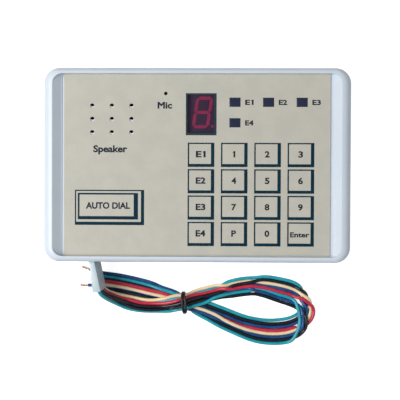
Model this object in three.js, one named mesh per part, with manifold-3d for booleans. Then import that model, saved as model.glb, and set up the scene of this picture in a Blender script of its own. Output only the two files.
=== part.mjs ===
// Alarm dialler keypad panel: a white two-shell casing that lies on its back, with a printed
// overlay, sixteen short-travel keys, one digit, four indicator lamps, a microphone and a
// loudspeaker, and a wire harness in a tied hank that plugs into its lower long side.
// Millimetres, +Z out of the face, +Y towards the top of the legends, origin under the middle.
import * as THREE from 'three';
import { mergeVertices } from 'three/addons/utils/BufferGeometryUtils.js';
import Module from 'manifold-3d';

const wasm = await Module();
wasm.setup();

// ---------------------------------------------------------------- driving dimensions
// casing
const CASE_LENGTH = 135;
const CASE_WIDTH = 85.5;
const CASE_HEIGHT = 26;
const CORNER_RADIUS = 6.8;
const WALL = 2.2;
const PARTING_HEIGHT = 7;
const SHELL_GAP = 0.3;
const SHOULDER_WIDTH = 4.2;
const SHOULDER_DROP = 4;
// tray in the face
const TRAY_DEPTH = 3;
const TRAY_SLOPE_WIDTH = 3.5;
const TRAY_CORNER_RADIUS = 4.6;
const TRAY_STRIP = 0.7;
const LONG_RIM = 2.25;
const LABEL_GROOVE = 0.6;
const LABEL_CORNER_RADIUS = 0.5;
const FILM_THICKNESS = 0.4;
const FACE_THICKNESS = 2.2;
const SKIN_GAP = 0.05;
// a half-round end keeps this much straight, so that its outline closes cleanly
const ROUND_END_FLAT = 0.01;
// keys and their switches
const KEY_NAMES = [
  ['e1', '1', '2', '3'],
  ['e2', '4', '5', '6'],
  ['e3', '7', '8', '9'],
  ['e4', 'p', '0', 'enter'],
];
const KEY_LENGTH = 11.7;
const KEY_WIDTH = 10.7;
const KEY_PITCH_X = 14.6;
const KEY_PITCH_Y = 11.6;
const FIRST_KEY = { x: 1.9, y: 4.6 };
const KEY_SIDE_GAP = 0.12;
const KEY_TRAVEL = 0.4;
const PLUNGER_DIAMETER = 3.2;
const PLUNGER_CLEARANCE = 0.25;
const SWITCH_SIZE = 6;
const SWITCH_HEIGHT = 3.5;
const PLUNGER_ENGAGEMENT = 0.5;
// display and indicator lamps
const WINDOW_LENGTH = 13.5;
const WINDOW_WIDTH = 18.5;
const WINDOW_LEDGE = 0.6;
const WINDOW_CENTRE = { x: 1.9, y: 22.4 };
const DIGIT_LENGTH = 12.6;
const DIGIT_WIDTH = 19;
const LAMP_NAMES = ['e1', 'e2', 'e3', 'e4'];
const LAMP_LENGTH = 4.9;
const LAMP_WIDTH = 4.05;
const LAMP_PITCH = 14.7;
const LAMP_ROW_STEP = 9;
const LAMPS_IN_TOP_ROW = 3;
const FIRST_LAMP = { x: 16.7, y: 27.7 };
const LAMP_CLEARANCE = 0.1;
const LAMP_FLANGE = 0.8;
// sound
const MIC_CENTRE = { x: -13.7, y: 31.5 };
const MIC_HOLE = 1.6;
const MIC_DIAMETER = 6;
const MIC_HEIGHT = 3.4;
const BOOT_WALL = 1;
const SPEAKER_CENTRE = { x: -37.45, y: 20.2 };
const SPEAKER_HOLE = 1.8;
const SPEAKER_PITCH_X = 8.65;
const SPEAKER_PITCH_Y = 5.85;
const SPEAKER_DIAMETER = 36;
const SPEAKER_RIM = 2.5;
const SPEAKER_DEPTH = 6.5;
const MAGNET_DIAMETER = 17;
const MAGNET_HEIGHT = 4;
// circuit boards and what they carry
const BOARD_THICKNESS = 1.6;
const BOARD_DROP = 7;
const BOARD_RIGHT = 53.5;
const BOARD_LEFT = -17;
const BOARD_HALF_WIDTH = 37.5;
const BOARD_ARM_LEFT = -53;
const BOARD_ARM_TOP = -3;
const POST_DIAMETER = 4;
const POST_PIN_DIAMETER = 2;
const POST_PIN_CLEARANCE = 0.2;
const POST_PLACES = [[-13, -33.5], [50, -36], [50, 34], [-13.5, 18]];
const CHIP = { x: 20, y: -9, length: 35.5, width: 13.4, height: 3.9 };
const RELAY = { x: 36, y: 29, length: 15.4, width: 10.4, height: 8.8 };
const TRANSFORMER = { x: -35, y: -18, length: 14.5, width: 12.5, height: 8.4 };
const TOUCH_GAP = 0.3;
// case screws
const SCREW_INSET_X = 7;
const SCREW_INSET_Y = 7;
const SCREW_DIAMETER = 2.9;
const SCREW_HEAD_DIAMETER = 5.4;
const SCREW_HEAD_HEIGHT = 1.9;
const SCREW_LENGTH = 14;
const SCREW_SLOT = 0.8;
const SCREW_CLEARANCE = 0.3;
const PILOT_CLEARANCE = 0.1;
const BOSS_WALL = 1.7;
// keyholes for wall screws
const KEYHOLE_SPACING = 70;
const KEYHOLE_Y = 8;
const KEYHOLE_HEAD_DIAMETER = 8;
const KEYHOLE_SLOT_WIDTH = 4.4;
const KEYHOLE_SLOT_LENGTH = 9;
const KEYHOLE_PAD_HEIGHT = 0.8;
const KEYHOLE_PAD_MARGIN = 2.6;
// harness plug, header and hank
const PLUG_X = -47.5;
const PLUG_YAW = THREE.MathUtils.degToRad(11.6);
const PLUG_THICKNESS = 2.6;
const PLUG_LENGTH = 14.5;
const PLUG_TOP_CLEARANCE = 0.8;
const PLUG_ENTRY = 1;
const PLUG_WAYS = 8;
const PLUG_PITCH = 2;
const PLUG_END_WALL = 0.2;
const PLUG_WAY_WALL = 0.25;
const PLUG_WIRE_HOLE_DEPTH = 4;
const PLUG_LATCH_DEPTH = 0.5;
const SLOT_CLEARANCE = 0.55;
const HEADER_LENGTH = 6.2;
const HEADER_THICKNESS = 3.4;
const RISER_LENGTH = 7.5;
const HANK_X = -46.2;
const HANK_BOTTOM = 1.7;
const HANK_TOP = 5.6;
const TIE_X = 40.3;
const TIE_Y = -19.65;
const TIE_INNER_WIDTH = 10.8;
const TIE_INNER_HEIGHT = 5;
const TIE_STOCK = 1.2;
const TIE_LEAN = THREE.MathUtils.degToRad(-5);

// round features of small holes and of larger discs
const SMALL_SIDES = 12;
const DISC_SIDES = 28;
const CORNER_STEPS = 5;
const SHOULDER_STEPS = 5;

// ---------------------------------------------------------------- worked-out levels and places
const TRAY_FLOOR = CASE_HEIGHT - TRAY_DEPTH;
const FILM_TOP = TRAY_FLOOR - SKIN_GAP;
const FILM_BOTTOM = FILM_TOP - FILM_THICKNESS;
const LABEL_SEAT = FILM_BOTTOM - SKIN_GAP;
const CEILING = TRAY_FLOOR - FACE_THICKNESS;
const KEY_POCKET_FLOOR = LABEL_SEAT - KEY_TRAVEL - SKIN_GAP;
const CREST_LENGTH = CASE_LENGTH - 2 * SHOULDER_WIDTH;
const TRAY_WIDTH = CASE_WIDTH - 2 * LONG_RIM;
const TRAY_FLOOR_LENGTH = CREST_LENGTH - 2 * TRAY_SLOPE_WIDTH;
const LABEL_SEAT_LENGTH = TRAY_FLOOR_LENGTH - 2 * TRAY_STRIP;
const LABEL_LENGTH = LABEL_SEAT_LENGTH - 2 * LABEL_GROOVE;
const LABEL_WIDTH = TRAY_WIDTH - 2 * SKIN_GAP;
const BOARD_TOP = CEILING - BOARD_DROP;
const BOARD_BOTTOM = BOARD_TOP - BOARD_THICKNESS;
const PLUG_HEIGHT = PLUG_WAYS * PLUG_PITCH + 2 * PLUG_END_WALL;
const PLUG_CENTRE_HEIGHT = CEILING - PLUG_TOP_CLEARANCE - PLUG_HEIGHT / 2;
const HEADER_FRONT = -CASE_WIDTH / 2 + WALL + TOUCH_GAP;
const HEADER_BACK = HEADER_FRONT + HEADER_LENGTH;
const RISER_FRONT = HEADER_BACK + SKIN_GAP;
const BOARD_ARM_BOTTOM = RISER_FRONT + BOARD_THICKNESS + SKIN_GAP;
const SWITCH_TOP = BOARD_TOP + SKIN_GAP + SWITCH_HEIGHT;
const SCREW_PLACES = [-1, 1].flatMap((sx) => [-1, 1].map((sy) => ({
  name: `${sy > 0 ? 'top' : 'bottom'}_${sx > 0 ? 'right' : 'left'}`,
  x: sx * (CASE_LENGTH / 2 - SCREW_INSET_X),
  y: sy * (CASE_WIDTH / 2 - SCREW_INSET_Y),
})));
const BOSS_RADIUS = SCREW_DIAMETER / 2 + PILOT_CLEARANCE + BOSS_WALL;
const KEYS = KEY_NAMES.flatMap((row, r) => row.map((name, c) => ({
  name,
  x: FIRST_KEY.x + c * KEY_PITCH_X,
  y: FIRST_KEY.y - r * KEY_PITCH_Y,
})));
const LAMPS = LAMP_NAMES.map((name, i) => ({
  name,
  x: FIRST_LAMP.x + (i % LAMPS_IN_TOP_ROW) * LAMP_PITCH,
  y: FIRST_LAMP.y - Math.floor(i / LAMPS_IN_TOP_ROW) * LAMP_ROW_STEP,
}));
const SPEAKER_HOLES = [-1, 0, 1].flatMap((c) => [-1, 0, 1].map((r) => ({
  x: SPEAKER_CENTRE.x + c * SPEAKER_PITCH_X,
  y: SPEAKER_CENTRE.y + r * SPEAKER_PITCH_Y,
})));

// ---------------------------------------------------------------- materials
const finish = (color, roughness, metalness = 0) =>
  new THREE.MeshStandardMaterial({ color, roughness, metalness });
const WHITE_PLASTIC = finish(0xe6eaf0, 0.45);
const FILM_BEIGE = finish(0xc8c4b9, 0.5);
const FILTER_PURPLE = finish(0x3c2638, 0.15);
const LAMP_NAVY = finish(0x28304a, 0.25);
const BOARD_GREEN = finish(0x1f5a3a, 0.5);
const BLACK_PLASTIC = finish(0x1a1b1e, 0.5);
const GREY_PLASTIC = finish(0x55585c, 0.5);
const DARK_RUBBER = finish(0x161616, 0.8);
const PAPER_CONE = finish(0x2a2724, 0.9);
const STEEL = finish(0xb8babd, 0.35, 1);
const RELAY_BLUE = finish(0x2a5c9c, 0.45);
const TAPE_YELLOW = finish(0xc9a53a, 0.6);
const NYLON_WHITE = finish(0xdde3e8, 0.5);
const WIRE_TEAL = finish(0x1f7f88, 0.4);

// ---------------------------------------------------------------- shapes and solids
/** Rounded rectangle outline centred on a point. */
function roundedRect(length, width, radius, x = 0, y = 0) {
  const [hx, hy] = [length / 2, width / 2];
  const shape = new THREE.Shape();
  shape.moveTo(x + hx, y - hy + radius);
  shape.absarc(x + hx - radius, y + hy - radius, radius, 0, Math.PI / 2);
  shape.absarc(x - hx + radius, y + hy - radius, radius, Math.PI / 2, Math.PI);
  shape.absarc(x - hx + radius, y - hy + radius, radius, Math.PI, 1.5 * Math.PI);
  shape.absarc(x + hx - radius, y - hy + radius, radius, 1.5 * Math.PI, 2 * Math.PI);
  return shape;
}

/** Outline through a list of corner points. */
const outline = (points) => new THREE.Shape(points.map(([x, y]) => new THREE.Vector2(x, y)));

/** Straight extrusion of an outline between two heights. */
function plate(shape, bottom, top, curveSegments = CORNER_STEPS) {
  const options = { depth: top - bottom, bevelEnabled: false, curveSegments };
  return new THREE.ExtrudeGeometry(shape, options).translate(0, 0, bottom);
}

/** Square-cornered block between two heights, centred on a point. */
const block = (length, width, bottom, top, x = 0, y = 0) =>
  new THREE.BoxGeometry(length, width, top - bottom).translate(x, y, (bottom + top) / 2);

/** Upright round bar between two heights. */
const bar = (diameter, bottom, top, x = 0, y = 0, sides = SMALL_SIDES) =>
  new THREE.CylinderGeometry(diameter / 2, diameter / 2, top - bottom, sides)
    .rotateX(Math.PI / 2).translate(x, y, (bottom + top) / 2);

/** Body of revolution about an upright axis, from [radius, height] points. */
const turned = (profile, x, y, sides = DISC_SIDES) =>
  new THREE.LatheGeometry(profile.map(([r, z]) => new THREE.Vector2(r, z)), sides)
    .rotateX(Math.PI / 2).translate(x, y, 0);

/** The solid of a closed geometry. */
function solid(geometry) {
  const bare = geometry.clone();
  bare.deleteAttribute('normal');
  bare.deleteAttribute('uv');
  const merged = mergeVertices(bare, 1e-4);
  return new wasm.Manifold(new wasm.Mesh({
    numProp: 3,
    vertProperties: new Float32Array(merged.attributes.position.array),
    triVerts: new Uint32Array(merged.index.array),
  }));
}

/** The geometry of a solid. */
function geometryOf(body) {
  const mesh = body.getMesh();
  const geometry = new THREE.BufferGeometry();
  geometry.setAttribute('position', new THREE.BufferAttribute(mesh.vertProperties, 3));
  geometry.setIndex(new THREE.BufferAttribute(mesh.triVerts, 1));
  geometry.computeVertexNormals();
  return geometry;
}

const joined = (geometries) =>
  geometryOf(geometries.map(solid).reduce((whole, next) => whole.add(next)));
const cut = (base, tools) =>
  geometryOf(tools.map(solid).reduce((whole, tool) => whole.subtract(tool), solid(base)));
const common = (a, b) => geometryOf(solid(a).intersect(solid(b)));

// ---------------------------------------------------------------- the assembly
const panel = new THREE.Group();

/** Adds one named sub-part to a group. */
function add(name, geometry, material, parent = panel) {
  const mesh = new THREE.Mesh(geometry, material);
  mesh.name = name;
  parent.add(mesh);
  return mesh;
}

/** Opening in the long lower side through which the plug enters. */
function harnessSlot() {
  const width = PLUG_THICKNESS + 2 * WALL * Math.tan(PLUG_YAW) + 2 * SLOT_CLEARANCE;
  const reach = PLUG_HEIGHT / 2 + SLOT_CLEARANCE;
  return block(width, 3 * WALL, PLUG_CENTRE_HEIGHT - reach, PLUG_CENTRE_HEIGHT + reach,
    PLUG_X, -CASE_WIDTH / 2);
}

/** The recess in the face: steep long walls, sloping ends and rounded corners. */
function trayRecess() {
  const above = CASE_HEIGHT + 1;
  const spread = TRAY_SLOPE_WIDTH / TRAY_DEPTH;
  const halfFloor = TRAY_FLOOR_LENGTH / 2;
  const halfTop = halfFloor + spread * (above - TRAY_FLOOR);
  const profile = outline([
    [-halfFloor, TRAY_FLOOR], [halfFloor, TRAY_FLOOR], [halfTop, above], [-halfTop, above],
  ]);
  const wedge = new THREE.ExtrudeGeometry(profile, { depth: TRAY_WIDTH, bevelEnabled: false })
    .rotateX(Math.PI / 2).translate(0, TRAY_WIDTH / 2, 0);
  const mouth = roundedRect(CREST_LENGTH, TRAY_WIDTH, TRAY_CORNER_RADIUS);
  return common(wedge, plate(mouth, TRAY_FLOOR - 1, above + 1));
}

function frontCover() {
  const crest = roundedRect(CREST_LENGTH, CASE_WIDTH - 2 * SHOULDER_WIDTH,
    CORNER_RADIUS - SHOULDER_WIDTH);
  const body = new THREE.ExtrudeGeometry(crest, {
    depth: CASE_HEIGHT - PARTING_HEIGHT,
    bevelThickness: SHOULDER_DROP,
    bevelSize: SHOULDER_WIDTH,
    bevelSegments: SHOULDER_STEPS,
    curveSegments: CORNER_STEPS,
  }).translate(0, 0, PARTING_HEIGHT - SHOULDER_DROP);
  const underside = block(2 * CASE_LENGTH, 2 * CASE_WIDTH, -CASE_HEIGHT, PARTING_HEIGHT);
  const cavity = plate(roundedRect(CASE_LENGTH - 2 * WALL, CASE_WIDTH - 2 * WALL,
    CORNER_RADIUS - WALL), PARTING_HEIGHT - 1, CEILING);
  const labelSeat = plate(roundedRect(LABEL_SEAT_LENGTH, TRAY_WIDTH, LABEL_CORNER_RADIUS),
    LABEL_SEAT, TRAY_FLOOR + 1, 2);
  const through = [CEILING - 1, TRAY_FLOOR + 1];
  const keyPockets = KEYS.flatMap(({ x, y }) => [
    block(KEY_LENGTH, KEY_WIDTH, KEY_POCKET_FLOOR, TRAY_FLOOR, x, y),
    bar(PLUNGER_DIAMETER + 2 * PLUNGER_CLEARANCE, ...through, x, y),
  ]);
  const window = block(WINDOW_LENGTH - 2 * WINDOW_LEDGE, WINDOW_WIDTH - 2 * WINDOW_LEDGE,
    ...through, WINDOW_CENTRE.x, WINDOW_CENTRE.y);
  const lampHoles = LAMPS.map(({ x, y }) => block(LAMP_LENGTH, LAMP_WIDTH, ...through, x, y));
  const soundHoles = [
    ...SPEAKER_HOLES.map(({ x, y }) => bar(SPEAKER_HOLE, ...through, x, y)),
    bar(MIC_HOLE, ...through, MIC_CENTRE.x, MIC_CENTRE.y),
  ];
  const shell = cut(body, [
    underside, cavity, trayRecess(), labelSeat, ...keyPockets, window, ...lampHoles, ...soundHoles,
    harnessSlot(),
  ]);
  // screw bosses and heat-staked board posts hang from the inside of the face
  const bosses = SCREW_PLACES.map(({ x, y }) =>
    bar(2 * BOSS_RADIUS, PARTING_HEIGHT, CEILING + 1, x, y, 2 * SMALL_SIDES));
  const posts = POST_PLACES.flatMap(([x, y]) => [
    bar(POST_DIAMETER, BOARD_TOP + SKIN_GAP, CEILING + 1, x, y),
    bar(POST_PIN_DIAMETER, BOARD_BOTTOM - 1, BOARD_TOP + 1, x, y),
  ]);
  const screwEnd = SCREW_LENGTH + SCREW_SLOT;
  const pilots = SCREW_PLACES.map(({ x, y }) =>
    bar(SCREW_DIAMETER + 2 * PILOT_CLEARANCE, PARTING_HEIGHT - 1, screwEnd + 1, x, y));
  return cut(joined([shell, ...bosses, ...posts]), pilots);
}

function rearCover() {
  const top = PARTING_HEIGHT - SHELL_GAP;
  const body = plate(roundedRect(CASE_LENGTH, CASE_WIDTH, CORNER_RADIUS), 0, top);
  const cavity = plate(roundedRect(CASE_LENGTH - 2 * WALL, CASE_WIDTH - 2 * WALL,
    CORNER_RADIUS - WALL), WALL, top + 1);
  const keyholes = [];
  const keyholePads = [];
  for (const x of [-KEYHOLE_SPACING / 2, KEYHOLE_SPACING / 2]) {
    const padTop = WALL + KEYHOLE_PAD_HEIGHT;
    const padLength = KEYHOLE_HEAD_DIAMETER + 2 * KEYHOLE_PAD_MARGIN;
    const padWidth = KEYHOLE_SLOT_LENGTH + KEYHOLE_HEAD_DIAMETER / 2 + 2 * KEYHOLE_PAD_MARGIN;
    const padY = KEYHOLE_Y + (KEYHOLE_SLOT_LENGTH - KEYHOLE_HEAD_DIAMETER / 2) / 2;
    keyholePads.push(block(padLength, padWidth, WALL / 2, padTop, x, padY));
    keyholes.push(
      bar(KEYHOLE_HEAD_DIAMETER, -1, padTop + 1, x, KEYHOLE_Y, 2 * SMALL_SIDES),
      plate(roundedRect(KEYHOLE_SLOT_WIDTH, KEYHOLE_SLOT_LENGTH, KEYHOLE_SLOT_WIDTH / 2 - ROUND_END_FLAT,
        x, KEYHOLE_Y + KEYHOLE_SLOT_LENGTH / 2), -1, padTop + 1, 3),
    );
  }
  const seatDiameter = SCREW_HEAD_DIAMETER + 2 * SCREW_CLEARANCE;
  const bosses = SCREW_PLACES.map(({ x, y }) =>
    bar(seatDiameter + 2 * BOSS_WALL, WALL / 2, top, x, y, 2 * SMALL_SIDES));
  const screwHoles = SCREW_PLACES.flatMap(({ x, y }) => [
    bar(SCREW_DIAMETER + 2 * SCREW_CLEARANCE, -1, top + 1, x, y),
    bar(seatDiameter, -1, SCREW_SLOT + SCREW_HEAD_HEIGHT, x, y, 2 * SMALL_SIDES),
  ]);
  const shell = joined([cut(body, [cavity]), ...bosses, ...keyholePads]);
  return cut(shell, [...keyholes, ...screwHoles, harnessSlot()]);
}

function overlayFilm() {
  const sheet = plate(roundedRect(LABEL_LENGTH, LABEL_WIDTH, LABEL_CORNER_RADIUS),
    FILM_BOTTOM, FILM_TOP, 2);
  const through = [FILM_BOTTOM - 1, FILM_TOP + 1];
  return cut(sheet, [
    ...KEYS.map(({ x, y }) => block(KEY_LENGTH, KEY_WIDTH, ...through, x, y)),
    block(WINDOW_LENGTH, WINDOW_WIDTH, ...through, WINDOW_CENTRE.x, WINDOW_CENTRE.y),
    ...LAMPS.map(({ x, y }) => block(LAMP_LENGTH, LAMP_WIDTH, ...through, x, y)),
    ...SPEAKER_HOLES.map(({ x, y }) => bar(SPEAKER_HOLE, ...through, x, y)),
    bar(MIC_HOLE, ...through, MIC_CENTRE.x, MIC_CENTRE.y),
  ]);
}

/** One key patch of the overlay with the plunger behind it, about its own centre. */
function keyPatch() {
  const patch = block(KEY_LENGTH - 2 * KEY_SIDE_GAP, KEY_WIDTH - 2 * KEY_SIDE_GAP,
    FILM_BOTTOM, FILM_TOP);
  const plunger = bar(PLUNGER_DIAMETER, SWITCH_TOP - PLUNGER_ENGAGEMENT, FILM_BOTTOM + SKIN_GAP);
  return joined([patch, plunger]);
}

/** Tactile switch can with the well that the plunger works in, about its own centre. */
function switchCan() {
  const can = block(SWITCH_SIZE, SWITCH_SIZE, BOARD_TOP + SKIN_GAP, SWITCH_TOP);
  const wellFloor = SWITCH_TOP - PLUNGER_ENGAGEMENT - KEY_TRAVEL - TOUCH_GAP;
  const well = bar(PLUNGER_DIAMETER + 2 * PLUNGER_CLEARANCE, wellFloor, SWITCH_TOP + 1);
  return cut(can, [well]);
}

/** Rectangular lamp: lens flush with the film, body down to the board, flange at its foot. */
function lampBody() {
  const foot = BOARD_TOP + SKIN_GAP;
  const length = LAMP_LENGTH - 2 * LAMP_CLEARANCE;
  const width = LAMP_WIDTH - 2 * LAMP_CLEARANCE;
  return joined([
    block(length, width, foot, FILM_TOP),
    block(length + 2 * LAMP_FLANGE, width + 2 * LAMP_FLANGE, foot, foot + LAMP_FLANGE),
  ]);
}

function caseScrew() {
  const shank = bar(SCREW_DIAMETER, SCREW_SLOT + SCREW_HEAD_HEIGHT / 2, SCREW_LENGTH + SCREW_SLOT);
  const head = turned([
    [0, SCREW_SLOT / 2], [SCREW_HEAD_DIAMETER / 2, SCREW_SLOT / 2],
    [SCREW_HEAD_DIAMETER / 2, SCREW_HEAD_HEIGHT - SKIN_GAP + SCREW_SLOT],
    [0, SCREW_HEAD_HEIGHT - SKIN_GAP + SCREW_SLOT],
  ], 0, 0, 2 * SMALL_SIDES);
  const slot = block(SCREW_HEAD_DIAMETER * 2, SCREW_SLOT, -1, SCREW_SLOT * 1.5);
  return cut(joined([shank, head]), [slot]);
}

function mainBoard() {
  const board = plate(outline([
    [BOARD_LEFT, BOARD_ARM_TOP], [BOARD_LEFT, BOARD_HALF_WIDTH], [BOARD_RIGHT, BOARD_HALF_WIDTH],
    [BOARD_RIGHT, -BOARD_HALF_WIDTH], [BOARD_LEFT, -BOARD_HALF_WIDTH],
    [BOARD_LEFT, BOARD_ARM_BOTTOM], [BOARD_ARM_LEFT, BOARD_ARM_BOTTOM],
    [BOARD_ARM_LEFT, BOARD_ARM_TOP],
  ].reverse()), BOARD_BOTTOM, BOARD_TOP);
  const holes = POST_PLACES.map(([x, y]) =>
    bar(POST_PIN_DIAMETER + 2 * POST_PIN_CLEARANCE, BOARD_BOTTOM - 1, BOARD_TOP + 1, x, y));
  return cut(board, holes);
}

/** A component hung under the main board. */
const underBoard = ({ x, y, length, width, height }) => block(length, width,
  BOARD_BOTTOM - SKIN_GAP - height, BOARD_BOTTOM - SKIN_GAP, x, y);

function addSpeaker() {
  const { x, y } = SPEAKER_CENTRE;
  const face = CEILING - SKIN_GAP;
  const outer = SPEAKER_DIAMETER / 2;
  const back = face - SPEAKER_DEPTH;
  const neck = MAGNET_DIAMETER / 2 - 1;
  const skin = 1;
  add('speaker_frame', turned([
    [neck, back], [neck, back + skin], [outer - SPEAKER_RIM, face - skin], [outer - SPEAKER_RIM, face],
    [outer, face], [outer, face - 2 * skin], [outer - SPEAKER_RIM, face - 2 * skin],
    [neck + 2 * skin, back], [neck, back],
  ].reverse(), x, y), GREY_PLASTIC);
  const coneRadius = outer - SPEAKER_RIM - TOUCH_GAP;
  add('speaker_cone', turned([
    [0, face - SPEAKER_DEPTH / 2], [coneRadius / 3, face - SPEAKER_DEPTH / 2],
    [coneRadius, face - skin], [coneRadius, face - skin / 2],
    [coneRadius / 3, face - SPEAKER_DEPTH / 2 + skin], [0, face - SPEAKER_DEPTH / 2 + skin],
  ], x, y), PAPER_CONE);
  add('speaker_magnet', turned([
    [0, back - SKIN_GAP - MAGNET_HEIGHT], [MAGNET_DIAMETER / 2, back - SKIN_GAP - MAGNET_HEIGHT],
    [MAGNET_DIAMETER / 2, back - SKIN_GAP], [0, back - SKIN_GAP],
  ], x, y), STEEL);
}

function addMicrophone() {
  const { x, y } = MIC_CENTRE;
  const top = CEILING - SKIN_GAP;
  const cup = bar(MIC_DIAMETER + 2 * BOOT_WALL, top - MIC_HEIGHT, top, x, y, 2 * SMALL_SIDES);
  const bore = bar(MIC_DIAMETER + 2 * SKIN_GAP, top - MIC_HEIGHT - 1, top + 1, x, y, 2 * SMALL_SIDES);
  add('mic_boot', cut(cup, [bore]), DARK_RUBBER);
  add('microphone', bar(MIC_DIAMETER, top - MIC_HEIGHT, top - TOUCH_GAP, x, y, 2 * SMALL_SIDES), STEEL);
}

/** Plug housing along -Y from its own end, with a wire hole per way and latch windows. */
function plugHousing() {
  const housing = new THREE.BoxGeometry(PLUG_THICKNESS, PLUG_LENGTH, PLUG_HEIGHT)
    .translate(0, -PLUG_LENGTH / 2, 0);
  const ways = Array.from({ length: PLUG_WAYS }, (_, i) => (i - (PLUG_WAYS - 1) / 2) * PLUG_PITCH);
  const holeRadius = (PLUG_PITCH - PLUG_WAY_WALL) / 2;
  const wireHoles = ways.map((z) =>
    new THREE.CylinderGeometry(holeRadius, holeRadius, 2 * PLUG_WIRE_HOLE_DEPTH,
      SMALL_SIDES).translate(0, -PLUG_LENGTH, z));
  const latchWindows = ways.map((z) =>
    new THREE.BoxGeometry(2 * PLUG_LATCH_DEPTH, PLUG_PITCH, PLUG_PITCH / 2)
      .translate(PLUG_THICKNESS / 2, -PLUG_LENGTH / 2, z));
  return cut(housing, [...wireHoles, ...latchWindows]);
}

/** Outer shape of the tied hank, from the outlet: a short left lobe, a waist and a long loop. */
function hankBody() {
  const points = (list) => list.map(([x, y]) => new THREE.Vector2(x, y));
  const shape = new THREE.Shape();
  shape.moveTo(6.8, -6.8);
  shape.lineTo(6.6, -14.2);
  shape.lineTo(2.8, -15.5);
  shape.splineThru(points([
    [6.3, -19.8], [12.2, -22.5], [20.9, -24.5], [28.2, -24.4], [35, -23.6], [40.3, -23.5],
    [44.7, -24], [50.1, -26.7], [66.9, -35.2], [75.6, -38.1], [83.4, -39.1], [93.8, -35.2],
    [98.9, -30.6], [100, -24.7], [96.6, -17.4], [90.7, -12], [83.8, -8.8], [75.6, -7.8],
    [66.9, -8.5], [58.7, -11], [50.1, -13.8], [45.2, -15.4], [40.3, -15.8], [34.6, -14.6],
    [25, -10.9], [12.2, -7.1],
  ]));
  shape.closePath();
  const eye = new THREE.Path();
  eye.moveTo(55.2, -21.7);
  eye.splineThru(points([
    [62.8, -24.6], [70.2, -26.4], [80.2, -27], [89.2, -24.4], [84.2, -19.9], [76.2, -17.5],
    [66.2, -17.8], [55.2, -21.7],
  ]));
  shape.holes.push(eye);
  return plate(shape, HANK_BOTTOM, HANK_TOP, 1);
}

/** Closed loop of twist tie standing across the waist of the hank, about its own centre. */
function tieLoop() {
  const ring = (grow) => roundedRect(TIE_INNER_WIDTH + 2 * grow, TIE_INNER_HEIGHT + 2 * grow,
    TIE_INNER_HEIGHT / 2 + grow - ROUND_END_FLAT);
  const outer = plate(ring(TIE_STOCK), -TIE_STOCK / 2, TIE_STOCK / 2);
  const inner = plate(ring(0), -TIE_STOCK, TIE_STOCK);
  return cut(outer, [inner]).rotateX(Math.PI / 2).rotateZ(Math.PI / 2);
}

// casing
add('front_cover', frontCover(), WHITE_PLASTIC);
add('rear_cover', rearCover(), WHITE_PLASTIC);
for (const { name, x, y } of SCREW_PLACES) {
  add(`case_screw_${name}`, caseScrew(), STEEL).position.set(x, y, 0);
}

// overlay, keys and switches
add('overlay_film', overlayFilm(), FILM_BEIGE);
for (const { name, x, y } of KEYS) {
  add(`key_${name}`, keyPatch(), FILM_BEIGE).position.set(x, y, 0);
  add(`switch_${name}`, switchCan(), BLACK_PLASTIC).position.set(x, y, 0);
}

// display and lamps
add('display_filter', block(WINDOW_LENGTH - 2 * SKIN_GAP, WINDOW_WIDTH - 2 * SKIN_GAP,
  FILM_BOTTOM, FILM_TOP, WINDOW_CENTRE.x, WINDOW_CENTRE.y), FILTER_PURPLE);
add('display_module', block(DIGIT_LENGTH, DIGIT_WIDTH, BOARD_TOP + SKIN_GAP, CEILING - SKIN_GAP,
  WINDOW_CENTRE.x, WINDOW_CENTRE.y), BLACK_PLASTIC);
for (const { name, x, y } of LAMPS) {
  add(`lamp_${name}`, lampBody(), LAMP_NAVY).position.set(x, y, 0);
}

// sound
addSpeaker();
addMicrophone();

// boards
add('main_board', mainBoard(), BOARD_GREEN);
add('controller_chip', underBoard(CHIP), BLACK_PLASTIC);
add('relay', underBoard(RELAY), RELAY_BLUE);
add('line_transformer', underBoard(TRANSFORMER), TAPE_YELLOW);

// harness
/** Upright block behind the outlet, as high as the plug. */
const outletBlock = (thickness, front, back) => block(thickness, back - front,
  PLUG_CENTRE_HEIGHT - PLUG_HEIGHT / 2, PLUG_CENTRE_HEIGHT + PLUG_HEIGHT / 2,
  PLUG_X, (front + back) / 2);
add('harness_header', outletBlock(HEADER_THICKNESS, HEADER_FRONT, HEADER_BACK), NYLON_WHITE);
add('riser_board', outletBlock(RISER_LENGTH, RISER_FRONT, RISER_FRONT + BOARD_THICKNESS),
  BOARD_GREEN);
const plugGroup = new THREE.Group();
plugGroup.position.set(PLUG_X, -CASE_WIDTH / 2 + PLUG_ENTRY, PLUG_CENTRE_HEIGHT);
plugGroup.rotation.z = PLUG_YAW;
panel.add(plugGroup);
add('harness_plug', plugHousing(), NYLON_WHITE, plugGroup);
const hankGroup = new THREE.Group();
hankGroup.position.set(HANK_X, -CASE_WIDTH / 2, 0);
panel.add(hankGroup);
add('wire_hank', hankBody(), WIRE_TEAL, hankGroup);
const tie = add('wire_tie', tieLoop(), DARK_RUBBER, hankGroup);
tie.position.set(TIE_X, TIE_Y, TIE_STOCK + TIE_INNER_HEIGHT / 2);
tie.rotation.z = TIE_LEAN;

export default panel;
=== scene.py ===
"""Alarm dialler keypad panel: casing, printed overlay, keys, display, lamps and wired plug."""

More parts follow.
